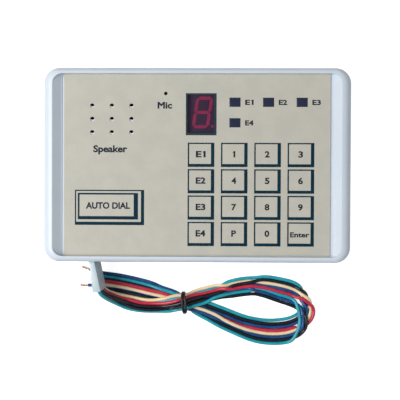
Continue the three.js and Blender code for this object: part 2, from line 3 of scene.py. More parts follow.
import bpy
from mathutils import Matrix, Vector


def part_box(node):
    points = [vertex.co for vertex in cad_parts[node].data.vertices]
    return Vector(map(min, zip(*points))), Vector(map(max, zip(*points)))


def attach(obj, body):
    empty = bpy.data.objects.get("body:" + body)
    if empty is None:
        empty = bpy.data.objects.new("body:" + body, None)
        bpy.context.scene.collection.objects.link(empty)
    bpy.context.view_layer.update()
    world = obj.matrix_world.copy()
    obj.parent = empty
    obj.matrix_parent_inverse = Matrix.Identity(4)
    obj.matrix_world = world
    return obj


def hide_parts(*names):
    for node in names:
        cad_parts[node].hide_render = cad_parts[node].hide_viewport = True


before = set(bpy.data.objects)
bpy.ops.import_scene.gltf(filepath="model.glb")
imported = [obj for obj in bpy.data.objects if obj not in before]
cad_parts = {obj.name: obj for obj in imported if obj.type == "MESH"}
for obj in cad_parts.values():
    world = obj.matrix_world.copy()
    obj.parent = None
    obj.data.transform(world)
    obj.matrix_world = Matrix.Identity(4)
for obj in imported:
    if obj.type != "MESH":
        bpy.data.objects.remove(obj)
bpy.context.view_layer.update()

import logging
import math
from dataclasses import dataclass
from enum import Enum
from typing import Callable, Iterable, Sequence

import bmesh
import bpy
import numpy as np
from mathutils import Matrix, Vector

log = logging.getLogger("keypad_panel")

MM = 0.001
HALF_TURN = math.pi
FULL_TURN = 2 * math.pi

Colour = tuple[float, float, float]
Point = tuple[float, float, float]
Socket = bpy.types.NodeSocket


def srgb(red: float, green: float, blue: float) -> Colour:
    """Linear colour of a display colour.

    Args:
        red: Red, 0 to 255.
        green: Green, 0 to 255.
        blue: Blue, 0 to 255.

    Returns:
        The three linear channels.
    """
    def linear(value: float) -> float:
        """One channel made linear."""
        share = value / 255
        return share / 12.92 if share <= 0.04045 else ((share + 0.055) / 1.055) ** 2.4

    return linear(red), linear(green), linear(blue)


# ------------------------------------------------------------------ node trees
class Bench:
    """Adds nodes to one node tree and joins them."""

    def __init__(self, tree: bpy.types.NodeTree) -> None:
        """Keep the tree that the nodes go into."""
        self.tree = tree

    def node(self, kind: str, **settings: object) -> bpy.types.Node:
        """Add a node.

        Args:
            kind: Node type name.
            settings: Properties to set on it.

        Returns:
            The new node.
        """
        made = self.tree.nodes.new(kind)
        for name, value in settings.items():
            setattr(made, name, value)
        return made

    def feed(self, socket: Socket, source: object) -> None:
        """Join an output to an input, or set the input's own value.

        Args:
            socket: The input.
            source: An output, or a value.
        """
        if isinstance(source, Socket):
            self.tree.links.new(source, socket)
        elif isinstance(source, tuple) and len(source) == 3 and socket.type == "RGBA":
            socket.default_value = (*source, 1)
        else:
            socket.default_value = source

    def place(self) -> Socket:
        """Object coordinates of the surface point."""
        return self.node("ShaderNodeTexCoord").outputs["Object"]

    def stretched(self, vector: Socket, scale: Point, turn: Point = (0, 0, 0)) -> Socket:
        """Coordinates scaled and turned.

        Args:
            vector: Coordinates to change.
            scale: Factor on each axis.
            turn: Turn about each axis, in radians.

        Returns:
            The changed coordinates.
        """
        mapping = self.node("ShaderNodeMapping")
        self.feed(mapping.inputs["Vector"], vector)
        mapping.inputs["Scale"].default_value = scale
        mapping.inputs["Rotation"].default_value = turn
        return mapping.outputs["Vector"]

    def noise(self, vector: Socket, scale: object, detail: float = 3, rough: float = 0.55) -> Socket:
        """Noise value over coordinates.

        Args:
            vector: Coordinates.
            scale: Features per metre, as a number or a socket.
            detail: Octaves.
            rough: Weight of the finer octaves.

        Returns:
            The value socket.
        """
        made = self.node("ShaderNodeTexNoise")
        self.feed(made.inputs["Vector"], vector)
        self.feed(made.inputs["Scale"], scale)
        made.inputs["Detail"].default_value = detail
        made.inputs["Roughness"].default_value = rough
        return made.outputs["Fac"]

    def spread(self, value: Socket, low: object, high: object, out_low: object = 0.0,
               out_high: object = 1.0) -> Socket:
        """A value's range moved to another range, clamped.

        Args:
            value: Value to move.
            low: Lower end of its range.
            high: Upper end of its range.
            out_low: Lower end of the new range.
            out_high: Upper end of the new range.

        Returns:
            The moved value.
        """
        made = self.node("ShaderNodeMapRange", interpolation_type="SMOOTHSTEP")
        for name, source in (("Value", value), ("From Min", low), ("From Max", high),
                             ("To Min", out_low), ("To Max", out_high)):
            self.feed(made.inputs[name], source)
        return made.outputs["Result"]

    def sum(self, first: object, second: object, operation: str = "ADD") -> Socket:
        """Two values put through a Math node.

        Args:
            first: First value.
            second: Second value.
            operation: Name of the Math operation.

        Returns:
            The result.
        """
        made = self.node("ShaderNodeMath", operation=operation)
        self.feed(made.inputs[0], first)
        self.feed(made.inputs[1], second)
        return made.outputs[0]

    def blend(self, factor: object, first: object, second: object) -> Socket:
        """Two colours mixed.

        Args:
            factor: Share of the second colour.
            first: Colour at 0.
            second: Colour at 1.

        Returns:
            The mixed colour.
        """
        made = self.node("ShaderNodeMix", data_type="RGBA")
        self.feed(made.inputs[0], factor)
        self.feed(made.inputs[6], first)
        self.feed(made.inputs[7], second)
        return made.outputs[2]


class Effect(Enum):
    """Surface effects that several materials share."""

    CLOUD = "tone_cloud"
    GRAIN = "moulded_grain"
    STREAK = "drawn_streak"
    WEAR = "edge_wear"
    DUST = "settled_dust"
    FLECK = "pigment_fleck"


class EffectShelf:
    """Node groups of the shared effects, each made once."""

    def __init__(self) -> None:
        """Start with no group made."""
        self.groups: dict[Effect, bpy.types.NodeTree] = {}

    def use(self, bench: Bench, effect: Effect, **values: object) -> bpy.types.Node:
        """Place an effect's group in a material.

        Args:
            bench: Where the group node goes.
            effect: Which effect.
            values: Its input values or sockets, by input name.

        Returns:
            The group node.
        """
        if effect not in self.groups:
            self.groups[effect] = self._make(effect)
        made = bench.node("ShaderNodeGroup", node_tree=self.groups[effect])
        for name, value in values.items():
            bench.feed(made.inputs[name], value)
        return made

    def _make(self, effect: Effect) -> bpy.types.NodeTree:
        """Build an effect's group.

        Args:
            effect: Which effect.

        Returns:
            The group's node tree.
        """
        sockets, fill = {
            Effect.CLOUD: ({"Tone": "Color", "Shade": "Color", "Scale": "Float"}, self._cloud),
            Effect.GRAIN: ({"Scale": "Float", "Pits": "Float"}, self._grain),
            Effect.STREAK: ({"Scale": "Float"}, self._streak),
            Effect.WEAR: ({"Scale": "Float", "Reach": "Float"}, self._wear),
            Effect.DUST: ({"Scale": "Float", "Amount": "Float"}, self._dust),
            Effect.FLECK: ({"Scale": "Float", "Density": "Float"}, self._fleck),
        }[effect]
        tree = bpy.data.node_groups.new(effect.value, "ShaderNodeTree")
        for name, kind in sockets.items():
            tree.interface.new_socket(name, in_out="INPUT", socket_type=f"NodeSocket{kind}")
        bench = Bench(tree)
        entry = bench.node("NodeGroupInput")
        results = fill(bench, entry.outputs)
        for name, result in results.items():
            kind = "Color" if result.type == "RGBA" else "Float"
            tree.interface.new_socket(name, in_out="OUTPUT", socket_type=f"NodeSocket{kind}")
        leave = bench.node("NodeGroupOutput")
        for name, result in results.items():
            tree.links.new(result, leave.inputs[name])
        return tree

    @staticmethod
    def _cloud(bench: Bench, given: bpy.types.NodeInputs) -> dict[str, Socket]:
        """Two tones drifting into each other, as uneven pigment does.

        Args:
            bench: Makes and joins the group's nodes.
            given: The group's inputs.

        Returns:
            The outputs by name.
        """
        drift = bench.noise(bench.place(), given["Scale"], 4, 0.6)
        share = bench.spread(drift, 0.32, 0.68)
        return {"Colour": bench.blend(share, given["Tone"], given["Shade"])}

    @staticmethod
    def _grain(bench: Bench, given: bpy.types.NodeInputs) -> dict[str, Socket]:
        """Fine etched grain with shallow pits between.

        Args:
            bench: Makes and joins the group's nodes.
            given: The group's inputs.

        Returns:
            The outputs by name.
        """
        place = bench.place()
        fine = bench.noise(place, given["Scale"], 2, 0.5)
        cells = bench.node("ShaderNodeTexVoronoi", feature="SMOOTH_F1")
        bench.feed(cells.inputs["Vector"], place)
        bench.feed(cells.inputs["Scale"], bench.sum(given["Scale"], 0.6, "MULTIPLY"))
        pits = bench.sum(cells.outputs["Distance"], given["Pits"], "MULTIPLY")
        return {"Height": bench.sum(fine, pits, "SUBTRACT"), "Mask": bench.spread(fine, 0.35, 0.65)}

    @staticmethod
    def _streak(bench: Bench, given: bpy.types.NodeInputs) -> dict[str, Socket]:
        """Long fine lines, as drawn or brushed metal has.

        Args:
            bench: Makes and joins the group's nodes.
            given: The group's inputs.

        Returns:
            The outputs by name.
        """
        line = bench.stretched(bench.place(), (1, 0.05, 1))
        fine = bench.noise(line, given["Scale"], 5, 0.7)
        return {"Height": fine, "Mask": bench.spread(fine, 0.4, 0.6)}

    @staticmethod
    def _wear(bench: Bench, given: bpy.types.NodeInputs) -> dict[str, Socket]:
        """Broken polish along outward edges.

        Args:
            bench: Makes and joins the group's nodes.
            given: The group's inputs.

        Returns:
            The outputs by name.
        """
        edge = bench.node("ShaderNodeNewGeometry").outputs["Pointiness"]
        raised = bench.spread(edge, 0.51, bench.sum(0.51, given["Reach"], "ADD"))
        broken = bench.spread(bench.noise(bench.place(), given["Scale"], 4, 0.65), 0.4, 0.62)
        return {"Mask": bench.sum(raised, broken, "MULTIPLY")}

    @staticmethod
    def _dust(bench: Bench, given: bpy.types.NodeInputs) -> dict[str, Socket]:
        """Thin film of dust on faces that look up.

        Args:
            bench: Makes and joins the group's nodes.
            given: The group's inputs.

        Returns:
            The outputs by name.
        """
        normal = bench.node("ShaderNodeTexCoord").outputs["Normal"]
        split = bench.node("ShaderNodeSeparateXYZ")
        bench.feed(split.inputs[0], normal)
        upward = bench.spread(split.outputs["Z"], 0.55, 1.0)
        patch = bench.spread(bench.noise(bench.place(), given["Scale"], 5, 0.7), 0.45, 0.75)
        lying = bench.sum(upward, patch, "MULTIPLY")
        return {"Mask": bench.sum(lying, given["Amount"], "MULTIPLY")}

    @staticmethod
    def _fleck(bench: Bench, given: bpy.types.NodeInputs) -> dict[str, Socket]:
        """Separate tiny specks.

        Args:
            bench: Makes and joins the group's nodes.
            given: The group's inputs.

        Returns:
            The outputs by name.
        """
        cells = bench.node("ShaderNodeTexVoronoi")
        bench.feed(cells.inputs["Vector"], bench.place())
        bench.feed(cells.inputs["Scale"], given["Scale"])
        speck = bench.spread(cells.outputs["Distance"], 0.0, given["Density"], 1.0, 0.0)
        return {"Mask": speck}


effects = EffectShelf()


# ------------------------------------------------------------------ finishes
@dataclass(frozen=True)
class Finish:
    """Look of one material, from its colours, grain and gloss."""

    name: str
    tone: Colour
    shade: Colour
    cloud: float = 90.0
    grain: float = 3500.0
    depth: float = 0.00002
    pits: float = 0.35
    gloss: tuple[float, float] = (0.4, 0.5)
    metallic: float = 0.0
    specular: float = 0.5
    coat: float = 0.0
    coat_rough: float = 0.1
    clear: float = 0.0
    alpha: float = 1.0
    glow: float = 0.0
    wear: float = 0.0
    wear_colour: Colour = (0.8, 0.8, 0.8)
    dust: float = 0.0
    fleck: float = 0.0
    fleck_colour: Colour = (0.5, 0.5, 0.5)
    fleck_scale: float = 2500.0
    streaked: bool = False

    def surface(self, bench: Bench) -> tuple[Socket, Socket, Socket]:
        """Colour, roughness and height of the surface.

        Args:
            bench: The material's tree.

        Returns:
            The three sockets.
        """
        cloud = effects.use(bench, Effect.CLOUD, Tone=self.tone, Shade=self.shade, Scale=self.cloud)
        colour = cloud.outputs["Colour"]
        if self.streaked:
            texture = effects.use(bench, Effect.STREAK, Scale=self.grain)
        else:
            texture = effects.use(bench, Effect.GRAIN, Scale=self.grain, Pits=self.pits)
        rough = bench.spread(texture.outputs["Mask"], 0.0, 1.0, *self.gloss)
        if self.fleck:
            speck = effects.use(bench, Effect.FLECK, Scale=self.fleck_scale, Density=self.fleck)
            colour = bench.blend(speck.outputs["Mask"], colour, self.fleck_colour)
        if self.wear:
            worn = effects.use(bench, Effect.WEAR, Scale=900.0, Reach=self.wear).outputs["Mask"]
            colour = bench.blend(bench.sum(worn, 0.35, "MULTIPLY"), colour, self.wear_colour)
            rough = bench.sum(rough, bench.sum(worn, 0.12, "MULTIPLY"), "ADD")
        if self.dust:
            lying = effects.use(bench, Effect.DUST, Scale=160.0, Amount=self.dust).outputs["Mask"]
            colour = bench.blend(lying, colour, (0.62, 0.6, 0.56))
            rough = bench.sum(rough, bench.sum(lying, 0.3, "MULTIPLY"), "ADD")
        return colour, rough, texture.outputs["Height"]

    def make(self) -> bpy.types.Material:
        """Build the material.

        Returns:
            The material, with its shader set and joined.
        """
        material = bpy.data.materials.new(self.name)
        material.use_nodes = True
        bench = Bench(material.node_tree)
        shader = material.node_tree.nodes["Principled BSDF"]
        colour, rough, height = self.surface(bench)
        bench.feed(shader.inputs["Base Color"], colour)
        bench.feed(shader.inputs["Roughness"], rough)
        bump = bench.node("ShaderNodeBump")
        bump.inputs["Distance"].default_value = self.depth
        bump.inputs["Strength"].default_value = 0.6
        bench.feed(bump.inputs["Height"], height)
        bench.feed(shader.inputs["Normal"], bump.outputs["Normal"])
        for name, value in (("Metallic", self.metallic), ("Specular IOR Level", self.specular),
                            ("Coat Weight", self.coat), ("Coat Roughness", self.coat_rough),
                            ("Transmission Weight", self.clear), ("Alpha", self.alpha)):
            shader.inputs[name].default_value = value
        if self.glow:
            bench.feed(shader.inputs["Emission Color"], colour)
            shader.inputs["Emission Strength"].default_value = self.glow
        material.diffuse_color = (*self.tone, 1)
        return material


@dataclass(frozen=True)
class BandedFinish(Finish):
    """Finish crossed by regular bands, such as wound tape or a thread."""

    pitch: float = 400.0
    band_colour: Colour = (0.2, 0.2, 0.2)
    band_turn: Point = (0.0, 0.0, 0.0)

    def surface(self, bench: Bench) -> tuple[Socket, Socket, Socket]:
        """Colour, roughness and height, with the bands over the plain finish.

        Args:
            bench: The material's tree.

        Returns:
            The three sockets.
        """
        colour, rough, height = super().surface(bench)
        wave = bench.node("ShaderNodeTexWave", wave_type="BANDS", bands_direction="Z")
        bench.feed(wave.inputs["Vector"], bench.stretched(bench.place(), (1, 1, 1), self.band_turn))
        wave.inputs["Scale"].default_value = self.pitch
        wave.inputs["Distortion"].default_value = 0.4
        line = bench.spread(wave.outputs["Fac"], 0.0, 0.25, 1.0, 0.0)
        colour = bench.blend(bench.sum(line, 0.6, "MULTIPLY"), colour, self.band_colour)
        return colour, rough, bench.sum(height, line, "SUBTRACT")


@dataclass(frozen=True)
class TracedFinish(Finish):
    """Lacquered circuit board with copper tracks under the lacquer."""

    track_colour: Colour = (0.06, 0.24, 0.09)

    def surface(self, bench: Bench) -> tuple[Socket, Socket, Socket]:
        """Colour, roughness and height, with raised tracks.

        Args:
            bench: The material's tree.

        Returns:
            The three sockets.
        """
        colour, rough, height = super().surface(bench)
        cells = bench.node("ShaderNodeTexVoronoi", feature="DISTANCE_TO_EDGE", distance="EUCLIDEAN")
        bench.feed(cells.inputs["Vector"], bench.stretched(bench.place(), (1, 1, 0.2)))
        cells.inputs["Scale"].default_value = 260.0
        track = bench.spread(cells.outputs["Distance"], 0.06, 0.1, 1.0, 0.0)
        colour = bench.blend(track, colour, self.track_colour)
        return colour, rough, bench.sum(height, track, "ADD")


class Finishes:
    """Every material of the panel, by the part it dresses."""

    def __init__(self) -> None:
        """Build all materials."""
        made = Finish(
            "moulded_white_plastic", srgb(219, 228, 238), srgb(215, 225, 236), cloud=55.0,
            grain=2600.0, depth=0.000012, gloss=(0.3, 0.4), specular=0.5, wear=0.04,
            wear_colour=srgb(236, 238, 242), dust=0.05)
        self.case = made.make()
        self.film = Finish(
            "overlay_film", srgb(200, 196, 183), srgb(194, 191, 179), cloud=140.0, grain=5200.0,
            depth=0.000012, pits=0.5, gloss=(0.44, 0.56), specular=0.4, fleck=0.12,
            fleck_colour=srgb(208, 205, 196), dust=0.04).make()
        self.teal_ink = Finish(
            "teal_print", srgb(2, 42, 60), srgb(6, 50, 64), cloud=420.0, grain=6000.0,
            depth=0.000006, gloss=(0.44, 0.56), specular=0.12, fleck=0.16,
            fleck_colour=srgb(16, 62, 76)).make()
        self.grey_ink = Finish(
            "grey_print", srgb(34, 40, 54), srgb(42, 46, 58), cloud=500.0, grain=6000.0,
            depth=0.000006, gloss=(0.44, 0.56), specular=0.12, fleck=0.14,
            fleck_colour=srgb(58, 62, 74)).make()
        self.filter = Finish(
            "tinted_window", srgb(40, 30, 50), srgb(32, 32, 54), cloud=120.0, grain=1800.0,
            depth=0.000003, gloss=(0.06, 0.1), alpha=0.3, specular=0.4).make()
        self.filter_edge = Finish(
            "window_border", srgb(22, 44, 64), srgb(18, 52, 62), cloud=300.0, grain=5000.0,
            depth=0.000006, gloss=(0.3, 0.4)).make()
        # The digit bars emit at their own colour (glow): painted light that brightens bars left in shade
        # under the tinted pane and in the recess.
        self.segment = Finish(
            "digit_segment", srgb(206, 62, 112), srgb(190, 54, 98), cloud=600.0, grain=4000.0,
            depth=0.000008, gloss=(0.3, 0.4), glow=0.3).make()
        self.digit_face = Finish(
            "digit_face", srgb(108, 68, 100), srgb(98, 64, 98), cloud=240.0, grain=3800.0,
            depth=0.000014, gloss=(0.5, 0.62), fleck=0.14, fleck_colour=srgb(86, 62, 86)).make()
        self.lamp = Finish(
            "navy_lamp_lens", srgb(34, 36, 66), srgb(26, 44, 68), cloud=260.0, grain=2400.0,
            depth=0.000006, gloss=(0.14, 0.22), coat=0.3, coat_rough=0.08).make()
        self.black = Finish(
            "black_plastic", srgb(26, 27, 30), srgb(34, 35, 38), cloud=300.0, grain=4200.0,
            gloss=(0.42, 0.55), wear=0.05, wear_colour=srgb(70, 70, 74), dust=0.08).make()
        self.grey = Finish(
            "grey_plastic", srgb(84, 87, 92), srgb(92, 95, 99), cloud=200.0, grain=3600.0,
            gloss=(0.4, 0.5), wear=0.05, wear_colour=srgb(130, 132, 136)).make()
        self.rubber = Finish(
            "tie_rubber", srgb(8, 12, 22), srgb(16, 20, 30), cloud=700.0, grain=5200.0,
            depth=0.00002, gloss=(0.36, 0.5), dust=0.03).make()
        self.paper = BandedFinish(
            "speaker_paper", srgb(42, 38, 34), srgb(54, 49, 44), cloud=500.0, grain=2600.0,
            depth=0.00006, gloss=(0.8, 0.95), pitch=300.0, band_colour=srgb(30, 27, 24)).make()
        self.steel = Finish(
            "plated_steel", srgb(186, 188, 192), srgb(168, 170, 176), cloud=300.0, grain=3200.0,
            depth=0.00001, gloss=(0.24, 0.4), metallic=1.0, wear=0.06,
            wear_colour=srgb(214, 214, 216), streaked=True).make()
        self.board = TracedFinish(
            "lacquered_board", srgb(24, 84, 50), srgb(20, 74, 46), cloud=120.0, grain=3000.0,
            gloss=(0.25, 0.38), coat=0.25, fleck=0.1, fleck_colour=srgb(60, 118, 80)).make()
        self.relay = Finish(
            "relay_case", srgb(36, 84, 148), srgb(42, 92, 156), cloud=160.0, grain=3600.0,
            gloss=(0.32, 0.42), wear=0.05, wear_colour=srgb(90, 132, 184)).make()
        self.tape = BandedFinish(
            "winding_tape", srgb(204, 168, 62), srgb(194, 156, 52), cloud=200.0, grain=3000.0,
            depth=0.00003, gloss=(0.3, 0.45), pitch=180.0, band_colour=srgb(150, 118, 34)).make()
        self.nylon = Finish(
            "plug_nylon", srgb(206, 220, 226), srgb(196, 212, 220), cloud=300.0, grain=3000.0,
            gloss=(0.3, 0.42), specular=0.5, dust=0.05).make()
        self.copper = Finish(
            "tinned_copper", srgb(228, 186, 166), srgb(212, 164, 144), cloud=900.0, grain=5200.0,
            depth=0.00001, gloss=(0.25, 0.4), metallic=1.0, streaked=True).make()
        self.crimp = Finish(
            "tin_crimp", srgb(196, 192, 180), srgb(176, 172, 160), cloud=900.0, grain=4200.0,
            depth=0.00001, gloss=(0.25, 0.38), metallic=1.0, streaked=True).make()

    @staticmethod
    def insulation(name: str, tone: Colour, shade: Colour) -> bpy.types.Material:
        """Shiny drawn insulation of one wire colour.

        Args:
            name: Material name.
            tone: Main colour.
            shade: Colour it drifts to.

        Returns:
            The material.
        """
        return Finish(name, tone, shade, cloud=260.0, grain=2200.0, depth=0.00001,
                      gloss=(0.26, 0.38), specular=0.5, coat=0.15, coat_rough=0.2, dust=0.03).make()


# ------------------------------------------------------------------ shapes, in millimetres
@dataclass(frozen=True)
class Extent:
    """Box of a CAD node, in millimetres."""

    low: Vector
    high: Vector

    @classmethod
    def of(cls, node: str) -> "Extent":
        """Box of a node at rest."""
        low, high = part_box(node)
        return cls(low / MM, high / MM)

    @property
    def centre(self) -> Vector:
        """Middle of the box."""
        return (self.low + self.high) / 2

    @property
    def size(self) -> Vector:
        """Length of each side."""
        return self.high - self.low


def block(size: Point, centre: Point) -> bmesh.types.BMesh:
    """Square-cornered block.

    Args:
        size: Its sides.
        centre: Its middle.

    Returns:
        The shape.
    """
    shape = bmesh.new()
    bmesh.ops.create_cube(shape, size=1, matrix=Matrix.Translation(centre) @ Matrix.Diagonal((*size, 1)))
    return shape


def bevel(shape: bmesh.types.BMesh, edges: Iterable[bmesh.types.BMEdge], width: float,
          steps: int = 3) -> bmesh.types.BMesh:
    """Round some edges of a shape.

    Args:
        shape: Shape to change.
        edges: Edges to round.
        width: Distance from the edge at which the round starts.
        steps: Faces across the round.

    Returns:
        The same shape.
    """
    bmesh.ops.bevel(shape, geom=list(edges), offset=width, segments=steps, profile=0.5,
                    affect="EDGES", material=-1, clamp_overlap=True)
    return shape


def upright_edges(shape: bmesh.types.BMesh) -> list[bmesh.types.BMEdge]:
    """Edges that run straight up."""
    return [edge for edge in shape.edges
            if (edge.verts[0].co - edge.verts[1].co).xy.length < 1e-5]


def edges_at(shape: bmesh.types.BMesh, height: float) -> list[bmesh.types.BMEdge]:
    """Edges whose two ends lie at a height."""
    return [edge for edge in shape.edges
            if all(abs(vertex.co.z - height) < 1e-4 for vertex in edge.verts)]


def slab(length: float, width: float, bottom: float, top: float, x: float = 0, y: float = 0,
         corner: float = 0, steps: int = 6) -> bmesh.types.BMesh:
    """Upright block with rounded corners in plan.

    Args:
        length: Size along X.
        width: Size along Y.
        bottom: Lower height.
        top: Upper height.
        x: Middle along X.
        y: Middle along Y.
        corner: Corner radius in plan.
        steps: Faces round each corner.

    Returns:
        The shape.
    """
    shape = block((length, width, top - bottom), (x, y, (bottom + top) / 2))
    if corner:
        bevel(shape, upright_edges(shape), corner, steps)
    return shape


def rod(diameter: float, bottom: float, top: float, x: float = 0, y: float = 0,
        sides: int = 32) -> bmesh.types.BMesh:
    """Upright round bar.

    Args:
        diameter: Its diameter.
        bottom: Lower height.
        top: Upper height.
        x: Middle along X.
        y: Middle along Y.
        sides: Faces round it.

    Returns:
        The shape.
    """
    shape = bmesh.new()
    bmesh.ops.create_cone(shape, cap_ends=True, segments=sides, radius1=diameter / 2,
                          radius2=diameter / 2, depth=top - bottom,
                          matrix=Matrix.Translation((x, y, (bottom + top) / 2)))
    return shape


def prism(outline: Sequence[tuple[float, float]], bottom: float, top: float) -> bmesh.types.BMesh:
    """Outline extruded upwards.

    Args:
        outline: Corner points in plan.
        bottom: Lower height.
        top: Upper height.

    Returns:
        The shape.
    """
    shape = bmesh.new()
    face = shape.faces.new([shape.verts.new((x, y, bottom)) for x, y in outline])
    grown = bmesh.ops.extrude_face_region(shape, geom=[face])["geom"]
    raised = [item for item in grown if isinstance(item, bmesh.types.BMVert)]
    bmesh.ops.translate(shape, verts=raised, vec=(0, 0, top - bottom))
    bmesh.ops.recalc_face_normals(shape, faces=shape.faces)
    return shape


def turned(profile: Sequence[tuple[float, float]], x: float, y: float,
           sides: int = 40) -> bmesh.types.BMesh:
    """Closed profile spun about an upright axis.

    Args:
        profile: Points of radius and height, from axis to axis.
        x: Axis place along X.
        y: Axis place along Y.
        sides: Steps round the axis.

    Returns:
        The shape.
    """
    shape = bmesh.new()
    points = [shape.verts.new((x + radius, y, height)) for radius, height in profile]
    edges = [shape.edges.new(pair) for pair in zip(points, points[1:])]
    bmesh.ops.spin(shape, geom=points + edges, cent=(x, y, 0), axis=(0, 0, 1), angle=FULL_TURN,
                   steps=sides, use_merge=True)
    bmesh.ops.remove_doubles(shape, verts=shape.verts, dist=1e-4)
    bmesh.ops.recalc_face_normals(shape, faces=shape.faces)
    return shape


def gathered(shapes: Iterable[bmesh.types.BMesh]) -> bmesh.types.BMesh:
    """Separate shapes put into one.

    Args:
        shapes: Shapes, which are used up.

    Returns:
        The gathered shape.
    """
    whole = bmesh.new()
    for shape in shapes:
        mesh = bpy.data.meshes.new("gathering")
        shape.to_mesh(mesh)
        shape.free()
        whole.from_mesh(mesh)
        bpy.data.meshes.remove(mesh)
    return whole


class Join(Enum):
    """Ways of combining two solids."""

    CUT = "DIFFERENCE"
    KEEP = "INTERSECT"
    WELD = "UNION"


def combined(base: bmesh.types.BMesh, tools: Sequence[bmesh.types.BMesh],
             how: Join = Join.CUT) -> bmesh.types.BMesh:
    """A solid cut by, kept to or welded with others.

    Args:
        base: Solid to change, which is used up.
        tools: Solids to combine it with, one after another, which are used up.
        how: What is done with each tool.

    Returns:
        The new solid.
    """
    holders = []
    for shape in (base, *tools):
        mesh = bpy.data.meshes.new("solid")
        shape.to_mesh(mesh)
        shape.free()
        holder = bpy.data.objects.new("solid", mesh)
        bpy.context.scene.collection.objects.link(holder)
        holders.append(holder)
    for tool in holders[1:]:
        step = holders[0].modifiers.new("step", "BOOLEAN")
        step.operation, step.object, step.solver = how.value, tool, "EXACT"
    shaped = holders[0].evaluated_get(bpy.context.evaluated_depsgraph_get())
    mesh = bpy.data.meshes.new_from_object(shaped)
    result = bmesh.new()
    result.from_mesh(mesh)
    bpy.data.meshes.remove(mesh)
    for holder in holders:
        spare = holder.data
        bpy.data.objects.remove(holder)
        bpy.data.meshes.remove(spare)
    bmesh.ops.remove_doubles(result, verts=result.verts, dist=1e-4)
    bmesh.ops.dissolve_degenerate(result, edges=result.edges, dist=1e-4)
    return result


def sharp_edges(shape: bmesh.types.BMesh, least: float,
                chosen: Callable[[Vector], bool]) -> list[bmesh.types.BMEdge]:
    """Outward edges sharper than an angle, where a test of their middle holds.

    Args:
        shape: Shape to look through.
        least: Least angle between the two faces, in degrees.
        chosen: Test of the edge's middle.

    Returns:
        The edges.
    """
    shape.normal_update()
    return [edge for edge in shape.edges
            if len(edge.link_faces) == 2
            and edge.calc_face_angle(0) > math.radians(least)
            and chosen((edge.verts[0].co + edge.verts[1].co) / 2)]


@dataclass
class Workshop:
    """Makes finished pieces from shapes and hands them to the frame."""

    finishes: Finishes

    def settle(self, piece: bpy.types.Object, material: bpy.types.Material, slot: str,
               body: str = "root", stands_for: Sequence[str] = ()) -> bpy.types.Object:
        """Dress a piece, give it its body and report it.

        Args:
            piece: The piece's object.
            material: Its finish.
            slot: Material slot name; not used.
            body: The CAD body it rides on.
            stands_for: CAD nodes it replaces.

        Returns:
            The same object.
        """
        if piece.name not in bpy.context.scene.collection.objects:
            bpy.context.scene.collection.objects.link(piece)
        piece.data.materials.clear()
        piece.data.materials.append(material)
        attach(piece, body)
        if stands_for:
            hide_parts(*stands_for)
        log.info("piece %s on %s", piece.name, body)
        return piece

    def piece(self, name: str, shape: bmesh.types.BMesh, material: bpy.types.Material, slot: str,
              body: str = "root", stands_for: Sequence[str] = (), crease: float = 32,
              even: bool = False) -> bpy.types.Object:
        """Turn a shape in millimetres into a finished piece.

        Args:
            name: Piece name.
            shape: Its shape, which is used up.
            material: Its finish.
            slot: Material slot name; not used.
            body: The CAD body it rides on.
            stands_for: CAD nodes it replaces.
            crease: Angle in degrees past which an edge stays crisp.
            even: Whether large faces keep the normals to themselves.

        Returns:
            The piece.
        """
        bmesh.ops.scale(shape, vec=(MM, MM, MM), verts=shape.verts)
        mesh = bpy.data.meshes.new(name)
        shape.to_mesh(mesh)
        shape.free()
        mesh.shade_smooth()
        mesh.set_sharp_from_angle(angle=math.radians(crease))
        made = bpy.data.objects.new(name, mesh)
        if even:
            normals = made.modifiers.new("even_normals", "WEIGHTED_NORMAL")
            normals.keep_sharp = True
        return self.settle(made, material, slot, body, stands_for)

    @staticmethod
    def dress(node: str, material: bpy.types.Material) -> None:
        """Give a CAD node its finish.

        Args:
            node: The CAD node.
            material: Its finish.
        """
        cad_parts[node].data.materials.clear()
        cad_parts[node].data.materials.append(material)
        log.info("dressed %s", node)


